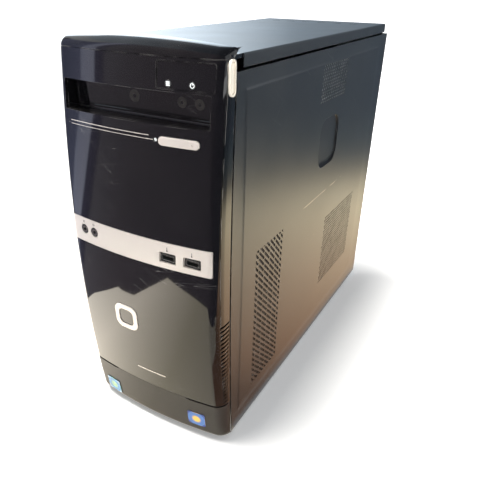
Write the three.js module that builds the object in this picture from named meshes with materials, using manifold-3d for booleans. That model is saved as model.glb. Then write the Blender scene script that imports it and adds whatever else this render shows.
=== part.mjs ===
// Desktop computer tower: a micro-tower office computer with a bowed gloss front, steel covers and
// its working parts inside. Millimetres, +Z up, front towards -Y, the access side towards +X.
// Inside the tower group y = 0 is the front edge of the top cover and z = 0 is the underside of the
// steel case, so the feet hang below it.
import * as THREE from 'three';
import { mergeVertices } from 'three/addons/utils/BufferGeometryUtils.js';
import Module from 'manifold-3d';

const wasm = await Module();
wasm.setup();

// ---- steel case ----
const CASE_WIDTH = 165;        // over both side covers
const CASE_HEIGHT = 366;       // underside to the top cover's upper face
const COVER_OVERHANG = 3.2;    // how far the top cover runs past the rear wall
const SIDE_DEPTH = 388;        // top cover's front edge to the side covers' rear edge
const SIDE_DROP = 12.3;        // top cover's upper face down to the side covers' top edge
const COVER_FLANGE = 9.7;      // depth of the top cover's side flange
const SHEET = 0.8;             // steel sheet
const HEM = 8;                 // width of the folded edges
const CLEAR = 0.4;             // gap between pieces that touch
const REAR_WALL_INSET = 21.2;  // side covers' rear edge to the rear wall's outer face
const FOOT_HEIGHT = 6;
const FOOT_RADIUS = 9;
const FOOT_INSET_X = 20;
const FOOT_INSET_Y = 32;
const PANEL_TRAVEL_ROOM = 0.5; // side play between the covers and the frame

// ---- front bezel ----
const FACE_CROWN = 41;         // how far the middle of the front stands ahead of the top cover
const FACE_CROWN_Z = 190;      // height of the foremost point
const FACE_TOP_BOW = 13.09;    // how far the front has fallen back at the bezel's top
const FACE_PLAN_BOW = 7.64;    // how far it has fallen back at the case's side
const FACE_CORNER = 10;        // rounding of the upright front corners
const BEZEL_STEP = 0.6;        // bezel's side is set in from the cover's side
const BEZEL_RISE = 8.5;        // top of the bezel in the middle, above the top cover
const BEZEL_TOP_DROP = 4.2;    // how much lower the top is at its ends
const BEZEL_TOP_ROLL = 9;
const BEZEL_BOTTOM_ROLL = 5;
const BEZEL_WALL = 2.5;
const SEAM_Y = 13.3;           // seam between bezel and side cover, ahead of the top cover's edge
const SEAM_TOP_BOW = 5.49;     // how far that seam has fallen back at the bezel's top
const SEAM_WIDTH = 2.8;
const GLOSS_INSET = 2.3;       // case's side to the gloss front's side edge
const GLOSS_THICK = 3;
const GLOSS_BOTTOM = 47.3;
const GLOSS_DROP = 3.3;        // top cover's upper face down to the gloss front's top edge
const GLOSS_GRID = [12, 14];     // facets across and up

// ---- front features ----
const BAY_HALF = 71.5;         // optical drive opening
const BAY_DROP = 26.9;         // heights marked DROP are measured down from the top cover
const BAY_TALL = 24.5;
const BAY_FACE = 15.5;         // drive's front face, ahead of the top cover's edge
const BAND_HALF = 76;
const BAND_Z = [195.0, 219.3];
const STATUS_X = [26.5, 73.5];
const STATUS_DROP = 4.5;
const STATUS_TALL = 20.3;
const PILL_X = [29, 64];
const PILL_DROP = 62.7;
const PILL_HEIGHT = 6.6;
const EJECT_TRAVEL = 2;
const USB_X = [35.2, 58.4];
const USB_SIZE = [15.4, 8.8];
const USB_MOUTH = [12.6, 5.2];
const USB_Z = 205;
const JACK_X = [-60, -47];
const JACK_Z = 208;
const JACK_RADIUS = 4.3;
const JACK_BORE = 1.8;
const PORT_DEPTH = 15;
const POWER_SIZE = [8, 25.5];     // chrome frame of the power button, depth by height
const POWER_Y = -14.9;            // its centre
const POWER_DROP = 15.4;
const POWER_RIM = 1.8;
const POWER_TRAVEL = 1.5;
const POWER_DEPTH = 5;            // length of the button behind its face
const LABEL_SIZE = [19, 18];
const LABEL_LEFT = [-57, 14];
const LABEL_RIGHT = [52.5, 20];

// ---- inside ----
const DRIVE_WIDTH = 146;
const DRIVE_HEIGHT = 41.3;
const DRIVE_DEPTH = 168;
const TRAY_WIDTH = 128;
const TRAY_THICK = 8;
const DISC_RADIUS = 60;
const DISK_SIZE = [101.6, 146, 26.1];
const CAGE_ROOM = 3;             // drive's side to the cage's outer face
const CAGE_DROP = 110;
const BOARD_SIZE = 244;
const BOARD_THICK = 1.6;
const BOARD_INSET = 10.5;        // case's left side to the back of the mainboard
const BOARD_REAR_ROOM = 1.5;
const BOARD_Z = 10;
const PSU_SIZE = [150, 139.4, 86];
const PSU_INSET = 4.5;
const PSU_TOP_ROOM = 5.2;
const FAN_SIZE = 92;
const FAN_DEPTH = 25;
const FAN_RIM = 4;               // fan frame's side to the blade tips
const FAN_SIDE_ROOM = 4.2;       // fan frame's side to the inside of the case
const FAN_Z = 100;
const PSU_FAN_RADIUS = 37;
const BLADE_CLEAR = 2;
const IO_SIZE = [44, 158.4];
const IO_LIP = 1.6;
const IO_Z = 18;
const SLOT_PITCH = 20.32;
const SLOT_FIRST_Z = 200;
const SLOT_SIZE = [118, 18.4];
const SLOT_X = -1;
const SLOT_COUNT = 4;
const CPU_ON_BOARD = [157.5, 90];  // from the mainboard's front lower corner, y and z
const SLOT_ON_BOARD = [114.5, 204.5];
const PSU_FAN_ON = [98, 43.2];     // from the power supply's left side and its underside
const INLET_ON = [27, 19];
const INLET_SIZE = [28, 21];
const INLET_MOUTH = [24.4, 16.4];
const SCREW_INSET = 7.5;         // case's side to the thumbscrews
const SCREW_LOW_Z = 28;
const SCREW_DROP = 28;
const SCREW_RADIUS = 2;
const SCREW_HEAD = 5.6;
const GRIP_AT = [199, 256];
const GRIP_SIZE = [56, 54];
const GRIP_CORNER = 16;
const GRIP_DEPTH = 6;

// ---- worked out ----
const half = CASE_WIDTH / 2;
const skin = half - SHEET;
const frameHalf = skin - PANEL_TRAVEL_ROOM;
const bezelHalf = half - BEZEL_STEP;
const rearWall = SIDE_DEPTH - REAR_WALL_INSET;      // outer face of the rear wall
const rearInner = rearWall - SHEET;
const coverDepth = rearWall + COVER_OVERHANG;
const sideHeight = CASE_HEIGHT - SIDE_DROP;
const bezelTop = CASE_HEIGHT + BEZEL_RISE;
const crownShare = (z) => ((z - FACE_CROWN_Z) / (bezelTop - FACE_CROWN_Z)) ** 2;
const glossHalf = half - GLOSS_INSET;
const glossZ = [GLOSS_BOTTOM, CASE_HEIGHT - GLOSS_DROP];
const bayZ = [CASE_HEIGHT - BAY_DROP - BAY_TALL, CASE_HEIGHT - BAY_DROP];
const bayMiddle = (bayZ[0] + bayZ[1]) / 2;
const statusZ = [CASE_HEIGHT - STATUS_DROP - STATUS_TALL, CASE_HEIGHT - STATUS_DROP];
const pillZ = CASE_HEIGHT - PILL_DROP;
const powerAt = [POWER_Y, CASE_HEIGHT - POWER_DROP];
const boardX = BOARD_INSET - half;
const boardTop = boardX + BOARD_THICK;
const boardY = [rearInner - BOARD_REAR_ROOM - BOARD_SIZE, rearInner - BOARD_REAR_ROOM];
const ioX = boardX - IO_LIP;
const cageHalf = DRIVE_WIDTH / 2 + CAGE_ROOM;
const cageFloor = CASE_HEIGHT - CAGE_DROP;
const psuX = PSU_INSET - half;
const psuTop = CASE_HEIGHT - SHEET - PSU_TOP_ROOM;
const psuBottom = psuTop - PSU_SIZE[2];
const psuRear = rearInner - CLEAR;
const psuFront = psuRear - PSU_SIZE[1];
const psuFanAt = [psuX + PSU_FAN_ON[0], psuBottom + PSU_FAN_ON[1]];
const inletAt = [psuX + INLET_ON[0], psuBottom + INLET_ON[1]];
const fanRadius = FAN_SIZE / 2 - FAN_RIM;
const rearFanAt = [frameHalf - FAN_SIDE_ROOM - FAN_SIZE / 2, FAN_Z];
const cpuAt = [boardY[0] + CPU_ON_BOARD[0], BOARD_Z + CPU_ON_BOARD[1]];
const screwX = half - SCREW_INSET;
const screwZ = [SCREW_LOW_Z, CASE_HEIGHT - SCREW_DROP];

// ---- shape helpers ----
function solid(geometry) {
  const bare = geometry.index ? geometry.toNonIndexed() : geometry.clone();
  for (const name of Object.keys(bare.attributes)) {
    if (name !== 'position') bare.deleteAttribute(name);
  }
  const merged = mergeVertices(bare, 1e-4);
  return new wasm.Manifold(new wasm.Mesh({
    numProp: 3,
    vertProperties: new Float32Array(merged.attributes.position.array),
    triVerts: new Uint32Array(merged.index.array),
  }));
}

function geometryOf(body) {
  const mesh = body.getMesh();
  const geometry = new THREE.BufferGeometry();
  geometry.setAttribute('position', new THREE.BufferAttribute(new Float32Array(mesh.vertProperties), 3));
  geometry.setIndex(new THREE.BufferAttribute(new Uint32Array(mesh.triVerts), 1));
  geometry.computeVertexNormals();
  return geometry;
}

const join = (...bodies) => bodies.reduce((sum, body) => sum.add(body));
const cut = (body, ...tools) => tools.reduce((rest, tool) => rest.subtract(tool), body);

function block([x0, x1], [y0, y1], [z0, z1]) {
  const geometry = new THREE.BoxGeometry(x1 - x0, y1 - y0, z1 - z0);
  geometry.translate((x0 + x1) / 2, (y0 + y1) / 2, (z0 + z1) / 2);
  return solid(geometry);
}

function around(centre, size) {
  return [centre - size / 2, centre + size / 2];
}

// A round bar along one axis; [u, v] is its place across that axis, in x, y, z order.
function rod(axis, radius, [from, to], [u, v], sides = 24) {
  const geometry = new THREE.CylinderGeometry(radius, radius, to - from, sides);
  const middle = (from + to) / 2;
  if (axis === 'x') geometry.rotateZ(Math.PI / 2).translate(middle, u, v);
  if (axis === 'y') geometry.translate(u, middle, v);
  if (axis === 'z') geometry.rotateX(Math.PI / 2).translate(u, v, middle);
  return solid(geometry);
}

function roundedShape([width, height], radius) {
  const w = width / 2;
  const h = height / 2;
  const shape = new THREE.Shape();
  shape.absarc(w - radius, h - radius, radius, 0, Math.PI / 2);
  shape.absarc(radius - w, h - radius, radius, Math.PI / 2, Math.PI);
  shape.absarc(radius - w, radius - h, radius, Math.PI, Math.PI * 1.5);
  shape.absarc(w - radius, radius - h, radius, Math.PI * 1.5, Math.PI * 2);
  shape.closePath();
  return shape;
}

// A shape drawn in x and z, given thickness along y.
function plateY(shape, [y0, y1], [x, z] = [0, 0], curveSegments = 5) {
  const geometry = new THREE.ExtrudeGeometry(shape, { depth: y1 - y0, bevelEnabled: false, curveSegments });
  geometry.rotateX(Math.PI / 2).translate(x, y1, z);
  return solid(geometry);
}

// A shape drawn in y and z, given thickness along x.
function plateX(shape, [x0, x1], [y, z] = [0, 0], curveSegments = 5) {
  const geometry = new THREE.ExtrudeGeometry(shape, { depth: x1 - x0, bevelEnabled: false, curveSegments });
  geometry.rotateX(Math.PI / 2).rotateZ(Math.PI / 2).translate(x0, y, z);
  return solid(geometry);
}

function tube(points, radius, sides = 8, steps = 16) {
  const route = new THREE.CatmullRomCurve3(points.map((p) => new THREE.Vector3(...p)));
  const ring = new THREE.Shape();
  ring.absarc(0, 0, radius, 0, Math.PI * 2);
  const options = { steps, extrudePath: route, bevelEnabled: false, curveSegments: sides / 2 };
  return solid(new THREE.ExtrudeGeometry(ring, options));
}

// ---- the bowed front ----
const topEdge = (x) => bezelTop - BEZEL_TOP_DROP * (x / half) ** 2;
const roll = (radius, over) => (over <= 0 ? 0 : radius - Math.sqrt(Math.max(0, radius ** 2 - over ** 2)));

function faceY(x, z) {
  const fromTop = z - (topEdge(x) - BEZEL_TOP_ROLL);
  return -FACE_CROWN
    + FACE_PLAN_BOW * (x / half) ** 2
    + roll(FACE_CORNER, Math.abs(x) - (bezelHalf - FACE_CORNER))
    + FACE_TOP_BOW * crownShare(z)
    + roll(BEZEL_TOP_ROLL, fromTop)
    + roll(BEZEL_BOTTOM_ROLL, BEZEL_BOTTOM_ROLL - z);
}

const seamY = (z) => -SEAM_Y + SEAM_TOP_BOW * crownShare(z);
const denseEnds = (t) => 0.5 - 0.5 * Math.cos(Math.PI * t);

// A block whose front follows the bowed face at the given offset. Its back is an offset or a y value.
function faceSlab({ x, z, front = 0, back, rear, top, grid = [10, 12] }) {
  const geometry = new THREE.BoxGeometry(1, 1, 1, grid[0], 1, grid[1]);
  const place = geometry.attributes.position;
  for (let i = 0; i < place.count; i += 1) {
    const px = x[0] + (x[1] - x[0]) * denseEnds(place.getX(i) + 0.5);
    const upper = top ? top(px) : z[1];
    const pz = z[0] + (upper - z[0]) * denseEnds(place.getZ(i) + 0.5);
    const isFront = place.getY(i) < 0;
    const behind = rear ? rear(pz) : faceY(px, pz) + back;
    place.setXYZ(i, px, isFront ? faceY(px, pz) + front : behind, pz);
  }
  return solid(geometry);
}

// ---- the assembly ----
const tower = new THREE.Group();

function finish(color, roughness, metalness = 0) {
  return new THREE.MeshStandardMaterial({ color, roughness, metalness });
}

const glossBlack = finish(0x14131a, 0.08);
const satinPlastic = finish(0x4a4540, 0.45);
const blackPlastic = finish(0x17171a, 0.5);
const silverPaint = finish(0xe2d6cb, 0.35, 0.4);
const chrome = finish(0xdad6cc, 0.1, 1);
const casePaint = finish(0x4c5257, 0.4, 0.5);
const bareSteel = finish(0xb6b9bb, 0.35, 0.9);
const boardGreen = finish(0x2c5a3a, 0.5);
const rubber = finish(0x202020, 0.9);
const aluminium = finish(0xbfc3c6, 0.35, 0.9);
const lensWhite = finish(0xf2f4f2, 0.3);

function add(name, body, material, position = [0, 0, 0]) {
  const mesh = new THREE.Mesh(geometryOf(body), material);
  mesh.name = name;
  mesh.position.set(...position);
  tower.add(mesh);
  return mesh;
}

// ---- bezel housing, gloss front and band ----
function bezelHousing() {
  const outerX = [-bezelHalf, bezelHalf];
  const innerX = [BEZEL_WALL - bezelHalf, bezelHalf - BEZEL_WALL];
  const backing = GLOSS_THICK + CLEAR;
  const shell = cut(
    faceSlab({
      x: outerX,
      z: [0, bezelTop],
      top: topEdge,
      rear: (z) => seamY(z) - SEAM_WIDTH / 2,
      grid: [12, 18],
    }),
    faceSlab({
      x: innerX,
      z: [BEZEL_WALL, bezelTop],
      top: (x) => topEdge(x) - BEZEL_WALL,
      front: backing + BEZEL_WALL,
      rear: () => 1,
      grid: [8, 8],
    }),
    faceSlab({
      x: [-glossHalf - CLEAR, glossHalf + CLEAR],
      z: [glossZ[0] - CLEAR, glossZ[1] + CLEAR],
      front: -FACE_CORNER,
      back: backing,
      grid: GLOSS_GRID,
    }),
  );
  const lidTop = topEdge(half);
  const lid = new THREE.Shape();
  lid.moveTo(-18, CASE_HEIGHT - 3);
  lid.lineTo(-CLEAR, CASE_HEIGHT - 3);
  lid.lineTo(-CLEAR, CASE_HEIGHT);
  lid.lineTo(-7, CASE_HEIGHT);
  lid.lineTo(-16, lidTop - CLEAR);
  lid.lineTo(-18, lidTop - CLEAR);
  const tunnel = faceSlab({
    x: [-BAY_HALF - BEZEL_WALL, BAY_HALF + BEZEL_WALL],
    z: [bayZ[0] - BEZEL_WALL, bayZ[1] + BEZEL_WALL],
    front: backing + 0.8,
    rear: () => -BAY_FACE + BEZEL_WALL,
    grid: [8, 2],
  });
  const portWindowHalf = Math.max(USB_X[1], -JACK_X[0]) + USB_SIZE[0] / 2 + 1;
  return cut(
    join(shell, plateX(lid, [-bezelHalf + CLEAR, bezelHalf - CLEAR]), tunnel),
    block([-BAY_HALF, BAY_HALF], [-FACE_CROWN - 5, 0], bayZ),
    block([-portWindowHalf, portWindowHalf], [-FACE_CROWN - 5, -20], [BAND_Z[0] + 3, BAND_Z[1] - 3]),
    block([PILL_X[0] - 8, PILL_X[1] + 2], [-FACE_CROWN - 5, -20], around(pillZ, PILL_HEIGHT + 4)),
    block([STATUS_X[0] + 4, STATUS_X[1] - 4], [-FACE_CROWN - 5, -18], [statusZ[0] + 0.6, statusZ[0] + 9]),
    powerShape(CLEAR, 0, powerPocketX),
  );
}

const powerPocketX = [bezelHalf - POWER_DEPTH - POWER_TRAVEL - 1, half + 1];

function powerShape(grow, rim, x) {
  const size = [POWER_SIZE[0] + 2 * (grow - rim), POWER_SIZE[1] + 2 * (grow - rim)];
  return plateX(roundedShape(size, Math.min(...size) / 2 - 0.2), x, powerAt);
}

function pill(grow, y) {
  const size = [PILL_X[1] - PILL_X[0] + 2 * grow, PILL_HEIGHT + 2 * grow];
  return plateY(roundedShape(size, size[1] / 2 - 0.05), y, [(PILL_X[0] + PILL_X[1]) / 2, pillZ]);
}

const ledX = PILL_X[0] - 3.2;
const ledRadius = 1.5;
const diskLedAt = [36.2, statusZ[0] + 3.6];
const powerLedAt = [56, statusZ[0] + 3.6];
const statusLedRadius = 2.2;

function glossFront() {
  const through = [-FACE_CROWN - 5, 0];
  return cut(
    faceSlab({ x: [-glossHalf, glossHalf], z: glossZ, back: GLOSS_THICK, grid: GLOSS_GRID }),
    block([-BAY_HALF, BAY_HALF], through, bayZ),
    block([-BAND_HALF - CLEAR, BAND_HALF + CLEAR], through, [BAND_Z[0] - CLEAR, BAND_Z[1] + CLEAR]),
    block([STATUS_X[0] - CLEAR, STATUS_X[1] + CLEAR], through, [statusZ[0] - CLEAR, statusZ[1] + CLEAR]),
    pill(CLEAR, through),
    rod('y', ledRadius + CLEAR, through, [ledX, pillZ], 16),
    powerShape(CLEAR, 0, powerPocketX),
  );
}

function portBand() {
  const through = [-FACE_CROWN - 5, 0];
  const usbHole = roundedShape([USB_SIZE[0] + 2 * CLEAR, USB_SIZE[1] + 2 * CLEAR], 1);
  return cut(
    faceSlab({ x: [-BAND_HALF, BAND_HALF], z: BAND_Z, back: GLOSS_THICK, grid: [14, 2] }),
    ...USB_X.map((x) => plateY(usbHole, through, [x, USB_Z], 2)),
    ...JACK_X.map((x) => rod('y', JACK_RADIUS + CLEAR, through, [x, JACK_Z], 20)),
  );
}

function statusWindow() {
  const through = [-FACE_CROWN - 5, 0];
  return cut(
    faceSlab({ x: STATUS_X, z: statusZ, front: 0.6, back: GLOSS_THICK, grid: [6, 4] }),
    rod('y', statusLedRadius + CLEAR, through, diskLedAt, 16),
    rod('y', statusLedRadius + CLEAR, through, powerLedAt, 16),
  );
}

// A lens whose outer end sits just behind the bowed face.
function lens(radius, [x, z]) {
  const front = faceY(x, z) + 0.8;
  return rod('y', radius, [front, front + 6], [x, z], 16);
}

function usbPort(x) {
  const front = faceY(x, USB_Z) + 1.2;
  const body = plateY(roundedShape(USB_SIZE, 0.8), [front, front + PORT_DEPTH], [x, USB_Z], 2);
  const mouthY = [front - 1, front + PORT_DEPTH - 3];
  return cut(body, block(around(x, USB_MOUTH[0]), mouthY, around(USB_Z, USB_MOUTH[1])));
}

function audioJack(x) {
  const front = faceY(x, JACK_Z) + 0.4;
  const body = rod('y', JACK_RADIUS, [front, front + PORT_DEPTH], [x, JACK_Z], 20);
  return cut(body, rod('y', JACK_BORE, [front - 1, front + PORT_DEPTH - 2], [x, JACK_Z], 12));
}

function label([x, z]) {
  return faceSlab({
    x: around(x, LABEL_SIZE[0]),
    z: around(z, LABEL_SIZE[1]),
    front: -0.75,
    back: -0.35,
    grid: [4, 4],
  });
}

add('front_bezel', bezelHousing(), satinPlastic);
add('gloss_front', glossFront(), glossBlack);
add('port_band', portBand(), silverPaint);
add('status_window', statusWindow(), glossBlack);
add('disk_led', lens(statusLedRadius, diskLedAt), lensWhite);
add('power_led', lens(statusLedRadius, powerLedAt), lensWhite);
add('eject_led', lens(ledRadius, [ledX, pillZ]), lensWhite);
const pillBody = faceSlab({ x: PILL_X, z: around(pillZ, PILL_HEIGHT), front: -0.8, back: 7, grid: [6, 2] });
add('eject_button', pill(0, [-FACE_CROWN - 5, 0]).intersect(pillBody), silverPaint);
add('power_button_frame', cut(
  powerShape(0, 0, [glossHalf + CLEAR, half]),
  powerShape(0, POWER_RIM, [0, half + 1]),
), chrome);
add('power_button', powerShape(-CLEAR, POWER_RIM, [bezelHalf - POWER_DEPTH, half - 0.3]), chrome);
add('usb_port_left', usbPort(USB_X[0]), blackPlastic);
add('usb_port_right', usbPort(USB_X[1]), blackPlastic);
add('microphone_jack', audioJack(JACK_X[0]), blackPlastic);
add('headphone_jack', audioJack(JACK_X[1]), blackPlastic);
const portBoardY = faceY(USB_X[1], USB_Z) + 1.2 + PORT_DEPTH + CLEAR;
add('port_board', block([-66, 68], [portBoardY, portBoardY + BOARD_THICK], BAND_Z), boardGreen);
add('label_left', label(LABEL_LEFT), silverPaint);
add('label_right', label(LABEL_RIGHT), silverPaint);

// ---- steel covers ----
function topCover() {
  const plate = block([-half, half], [0, coverDepth], [CASE_HEIGHT - SHEET, CASE_HEIGHT]);
  const flangeZ = [CASE_HEIGHT - COVER_FLANGE, CASE_HEIGHT - SHEET / 2];
  const slots = [];
  const slotLength = 11;
  const slotPitch = 21;
  const slotZs = [CASE_HEIGHT - 3, CASE_HEIGHT + 1];
  for (let i = 0; i < 6; i += 1) {
    slots.push(block(around((i - 2.5) * slotPitch, slotLength), around(coverDepth - 37, 3), slotZs));
  }
  return cut(join(
    plate,
    block([-half, -skin], [0, coverDepth], flangeZ),
    block([skin, half], [0, coverDepth], flangeZ),
  ), ...slots);
}

// Outline of a side cover in y and z: the front edge follows the seam with the bezel.
function sideOutline() {
  const shape = new THREE.Shape();
  const steps = 10;
  shape.moveTo(SIDE_DEPTH, 0);
  shape.lineTo(SIDE_DEPTH, sideHeight);
  for (let i = 0; i <= steps; i += 1) {
    const z = sideHeight * (1 - i / steps);
    shape.lineTo(seamY(z) + SEAM_WIDTH / 2, z);
  }
  return shape;
}

function sideCover(side) {
  const xs = (a, b) => (side > 0 ? [a, b] : [-b, -a]);
  return join(
    plateX(sideOutline(), xs(skin, half)),
    block(xs(half - HEM, half - SHEET / 2), [SIDE_DEPTH - SHEET, SIDE_DEPTH], [0, sideHeight]),
  );
}

const earY = rearWall + CLEAR;

function accessPanel() {
  const ears = screwZ.map((z) => block([screwX - 7, half - SHEET / 2], [earY, earY + SHEET], around(z, 16)));
  const holes = screwZ.map((z) => rod('y', SCREW_RADIUS + CLEAR, [earY - 2, earY + 3], [screwX, z], 16));
  const dishSize = [GRIP_SIZE[0] + 2 * SHEET, GRIP_SIZE[1] + 2 * SHEET];
  const dishX = [half - GRIP_DEPTH - SHEET, half - SHEET / 2];
  const dish = plateX(roundedShape(dishSize, GRIP_CORNER + SHEET), dishX, GRIP_AT);
  const pocket = plateX(roundedShape(GRIP_SIZE, GRIP_CORNER), [half - GRIP_DEPTH, half + 1], GRIP_AT);
  return cut(join(sideCover(1), dish, ...ears), pocket, ...holes);
}

function thumbscrew() {
  const gripCount = 8;
  const head = rod('y', SCREW_HEAD, [0, 9], [0, 0], 24);
  const grooves = [];
  for (let i = 0; i < gripCount; i += 1) {
    const angle = (i / gripCount) * Math.PI * 2;
    grooves.push(rod('y', 0.9, [1.5, 10], [SCREW_HEAD * Math.cos(angle), SCREW_HEAD * Math.sin(angle)], 6));
  }
  const slot = block(around(0, 8), [7.6, 10], around(0, 1.2));
  return join(cut(head, slot, ...grooves), rod('y', SCREW_RADIUS, [-8, 0.5], [0, 0], 16));
}

add('top_cover', topCover(), casePaint);
add('left_cover', sideCover(-1), casePaint);
add('access_panel', accessPanel(), casePaint);
add('thumbscrew_lower', thumbscrew(), bareSteel, [screwX, earY + SHEET + CLEAR, screwZ[0]]);
add('thumbscrew_upper', thumbscrew(), bareSteel, [screwX, earY + SHEET + CLEAR, screwZ[1]]);

// ---- chassis ----
const frontWallY = 1.2;
const wallTop = sideHeight - SHEET - CLEAR;

function chassisBase() {
  const flangeTop = 12;
  return join(
    block([-frameHalf, frameHalf], [frontWallY, rearWall], [0, SHEET]),
    block([-frameHalf, SHEET - frameHalf], [frontWallY, rearInner - CLEAR], [SHEET / 2, flangeTop]),
    block([frameHalf - SHEET, frameHalf], [frontWallY, rearInner - CLEAR], [SHEET / 2, flangeTop]),
  );
}

function chassisFront() {
  const inside = frameHalf - SHEET - CLEAR;
  return cut(
    block([-inside, inside], [frontWallY, frontWallY + SHEET], [SHEET + CLEAR, wallTop]),
    block(around(0, DRIVE_WIDTH + 2), [0, 5], around(bayMiddle, DRIVE_HEIGHT + 2)),
    block([-60, 60], [0, 5], [60, 150]),
    block([-66, 68], [0, 5], BAND_Z),
  );
}

const slotZ = Array.from({ length: SLOT_COUNT }, (_, i) => SLOT_FIRST_Z + i * SLOT_PITCH);

function chassisRear() {
  const through = [rearInner - 5, rearWall + 5];
  const fanHole = cut(
    rod('y', fanRadius, through, rearFanAt, 32),
    block(around(rearFanAt[0], 2 * fanRadius + 2), through, around(rearFanAt[1], 4)),
    block(around(rearFanAt[0], 4), through, around(rearFanAt[1], 2 * fanRadius + 2)),
  );
  return cut(
    block([-frameHalf, frameHalf], [rearInner, rearWall], [SHEET + CLEAR, CASE_HEIGHT - SHEET - CLEAR]),
    block([ioX - CLEAR, ioX + IO_SIZE[0] + CLEAR], through, [IO_Z - CLEAR, IO_Z + IO_SIZE[1] + CLEAR]),
    block([psuX + 4, psuX + PSU_SIZE[0] - 5], through, [psuBottom + 4, psuTop - 4]),
    fanHole,
    ...slotZ.map((z) => block(around(SLOT_X, SLOT_SIZE[0] - 16), through, around(z, 13))),
    ...screwZ.map((z) => rod('y', SCREW_RADIUS + CLEAR, through, [screwX, z], 16)),
  );
}

function slotCover() {
  const [length, width] = SLOT_SIZE;
  return join(
    block(around(0, length), [0, SHEET], around(0, width)),
    block([length / 2 - SHEET, length / 2], [SHEET / 2, 11], around(0, width)),
  );
}

function foot() {
  const profile = [
    [0, -FOOT_HEIGHT],
    [FOOT_RADIUS - 1.2, -FOOT_HEIGHT],
    [FOOT_RADIUS - 0.4, -FOOT_HEIGHT + 0.5],
    [FOOT_RADIUS, -FOOT_HEIGHT + 1.5],
    [FOOT_RADIUS, -CLEAR],
    [0, -CLEAR],
  ].map(([r, z]) => new THREE.Vector2(r, z));
  const geometry = new THREE.LatheGeometry(profile, 16);
  geometry.rotateX(Math.PI / 2);
  return solid(geometry);
}

add('chassis_base', chassisBase(), bareSteel);
add('chassis_front', chassisFront(), bareSteel);
add('chassis_rear', chassisRear(), bareSteel);
slotZ.forEach((z, i) => add(`slot_cover_${i + 1}`, slotCover(), bareSteel, [SLOT_X, rearWall + CLEAR, z]));
const footX = half - FOOT_INSET_X;
const footY = [FOOT_INSET_Y, rearWall - FOOT_INSET_Y];
const footPlaces = [[-footX, footY[0]], [footX, footY[0]], [-footX, footY[1]], [footX, footY[1]]];
footPlaces.forEach(([x, y], i) => add(`foot_${i + 1}`, foot(), rubber, [x, y, 0]));

// ---- drives ----
const trayZ = [bayMiddle - TRAY_THICK / 2, bayMiddle + TRAY_THICK / 2];
const trayLength = DRIVE_DEPTH - 34;
const driveFront = -BAY_FACE + BEZEL_WALL + CLEAR;

function driveCage() {
  const depth = [frontWallY + SHEET + CLEAR, 160];
  return join(
    block([-cageHalf, cageHalf], depth, [cageFloor, cageFloor + SHEET]),
    block([-cageHalf, SHEET - cageHalf], depth, [cageFloor, wallTop]),
    block([cageHalf - SHEET, cageHalf], depth, [cageFloor, wallTop]),
  );
}

function opticalDrive() {
  const mouth = block(
    around(0, TRAY_WIDTH + 2),
    [driveFront - 5, driveFront + trayLength + 3],
    [trayZ[0] - 1, trayZ[1] + 1],
  );
  return cut(
    block(around(0, DRIVE_WIDTH), [driveFront, driveFront + DRIVE_DEPTH], around(bayMiddle, DRIVE_HEIGHT)),
    mouth,
  );
}

function discTray() {
  const front = driveFront + CLEAR;
  const discY = front + DISC_RADIUS + 6;
  return cut(
    block(around(0, TRAY_WIDTH), [front, front + trayLength], trayZ),
    rod('z', DISC_RADIUS, [trayZ[1] - 2, trayZ[1] + 5], [0, discY], 40),
    rod('z', 18, [trayZ[0] - 1, trayZ[1] + 5], [0, discY], 24),
  );
}

add('drive_cage', driveCage(), bareSteel);
add('optical_drive', opticalDrive(), bareSteel);
add('disc_tray', discTray(), blackPlastic);
add('tray_front', block(
  around(0, 2 * BAY_HALF - 2),
  [-BAY_FACE, driveFront - CLEAR],
  [bayZ[0] + 1.2, bayZ[1] - 1.2],
), glossBlack);
add('hard_drive', block(
  around(0, DISK_SIZE[0]),
  [12, 12 + DISK_SIZE[1]],
  [cageFloor + SHEET + CLEAR, cageFloor + SHEET + CLEAR + DISK_SIZE[2]],
), aluminium);

// ---- fans ----
// A rotor turning about y at the origin, and the frame around it.
function rotor(radius, depth, hubRadius, blades = 7) {
  const parts = [rod('y', hubRadius, [0, depth], [0, 0], 20)];
  for (let i = 0; i < blades; i += 1) {
    const blade = new THREE.BoxGeometry(radius - hubRadius + 2, 1.4, depth * 1.05);
    blade.rotateX(0.95).translate((radius + hubRadius) / 2 - 1, depth / 2, 0);
    blade.rotateY((i / blades) * Math.PI * 2);
    parts.push(solid(blade));
  }
  const swept = rod('y', radius, [0, depth], [0, 0], 28);
  return join(...parts).intersect(swept);
}

function fanFrame(radius, size, depth) {
  const arms = [];
  for (let i = 0; i < 2; i += 1) {
    const arm = new THREE.BoxGeometry(2 * (radius + BLADE_CLEAR) + 4, 2, 3);
    arm.rotateY(Math.PI / 4 + (i * Math.PI) / 2).translate(0, depth - 1, 0);
    arms.push(solid(arm));
  }
  const ring = cut(
    block(around(0, size), [0, depth], around(0, size)),
    rod('y', radius + BLADE_CLEAR, [-1, depth + 1], [0, 0], 28),
  );
  return join(ring, rod('y', 19, [depth - 2, depth], [0, 0], 20), ...arms);
}

const rotorDepth = FAN_DEPTH - 6;
const rearFanY = rearInner - CLEAR - FAN_DEPTH;
const rearFrame = fanFrame(fanRadius, FAN_SIZE, FAN_DEPTH);
add('rear_fan_frame', rearFrame, blackPlastic, [rearFanAt[0], rearFanY, rearFanAt[1]]);
const rearRotor = rotor(fanRadius, rotorDepth, 19);
add('rear_fan', rearRotor, blackPlastic, [rearFanAt[0], rearFanY + 2, rearFanAt[1]]);

// ---- power supply ----
const psuFanY = psuRear - rotorDepth - 2;

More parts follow.
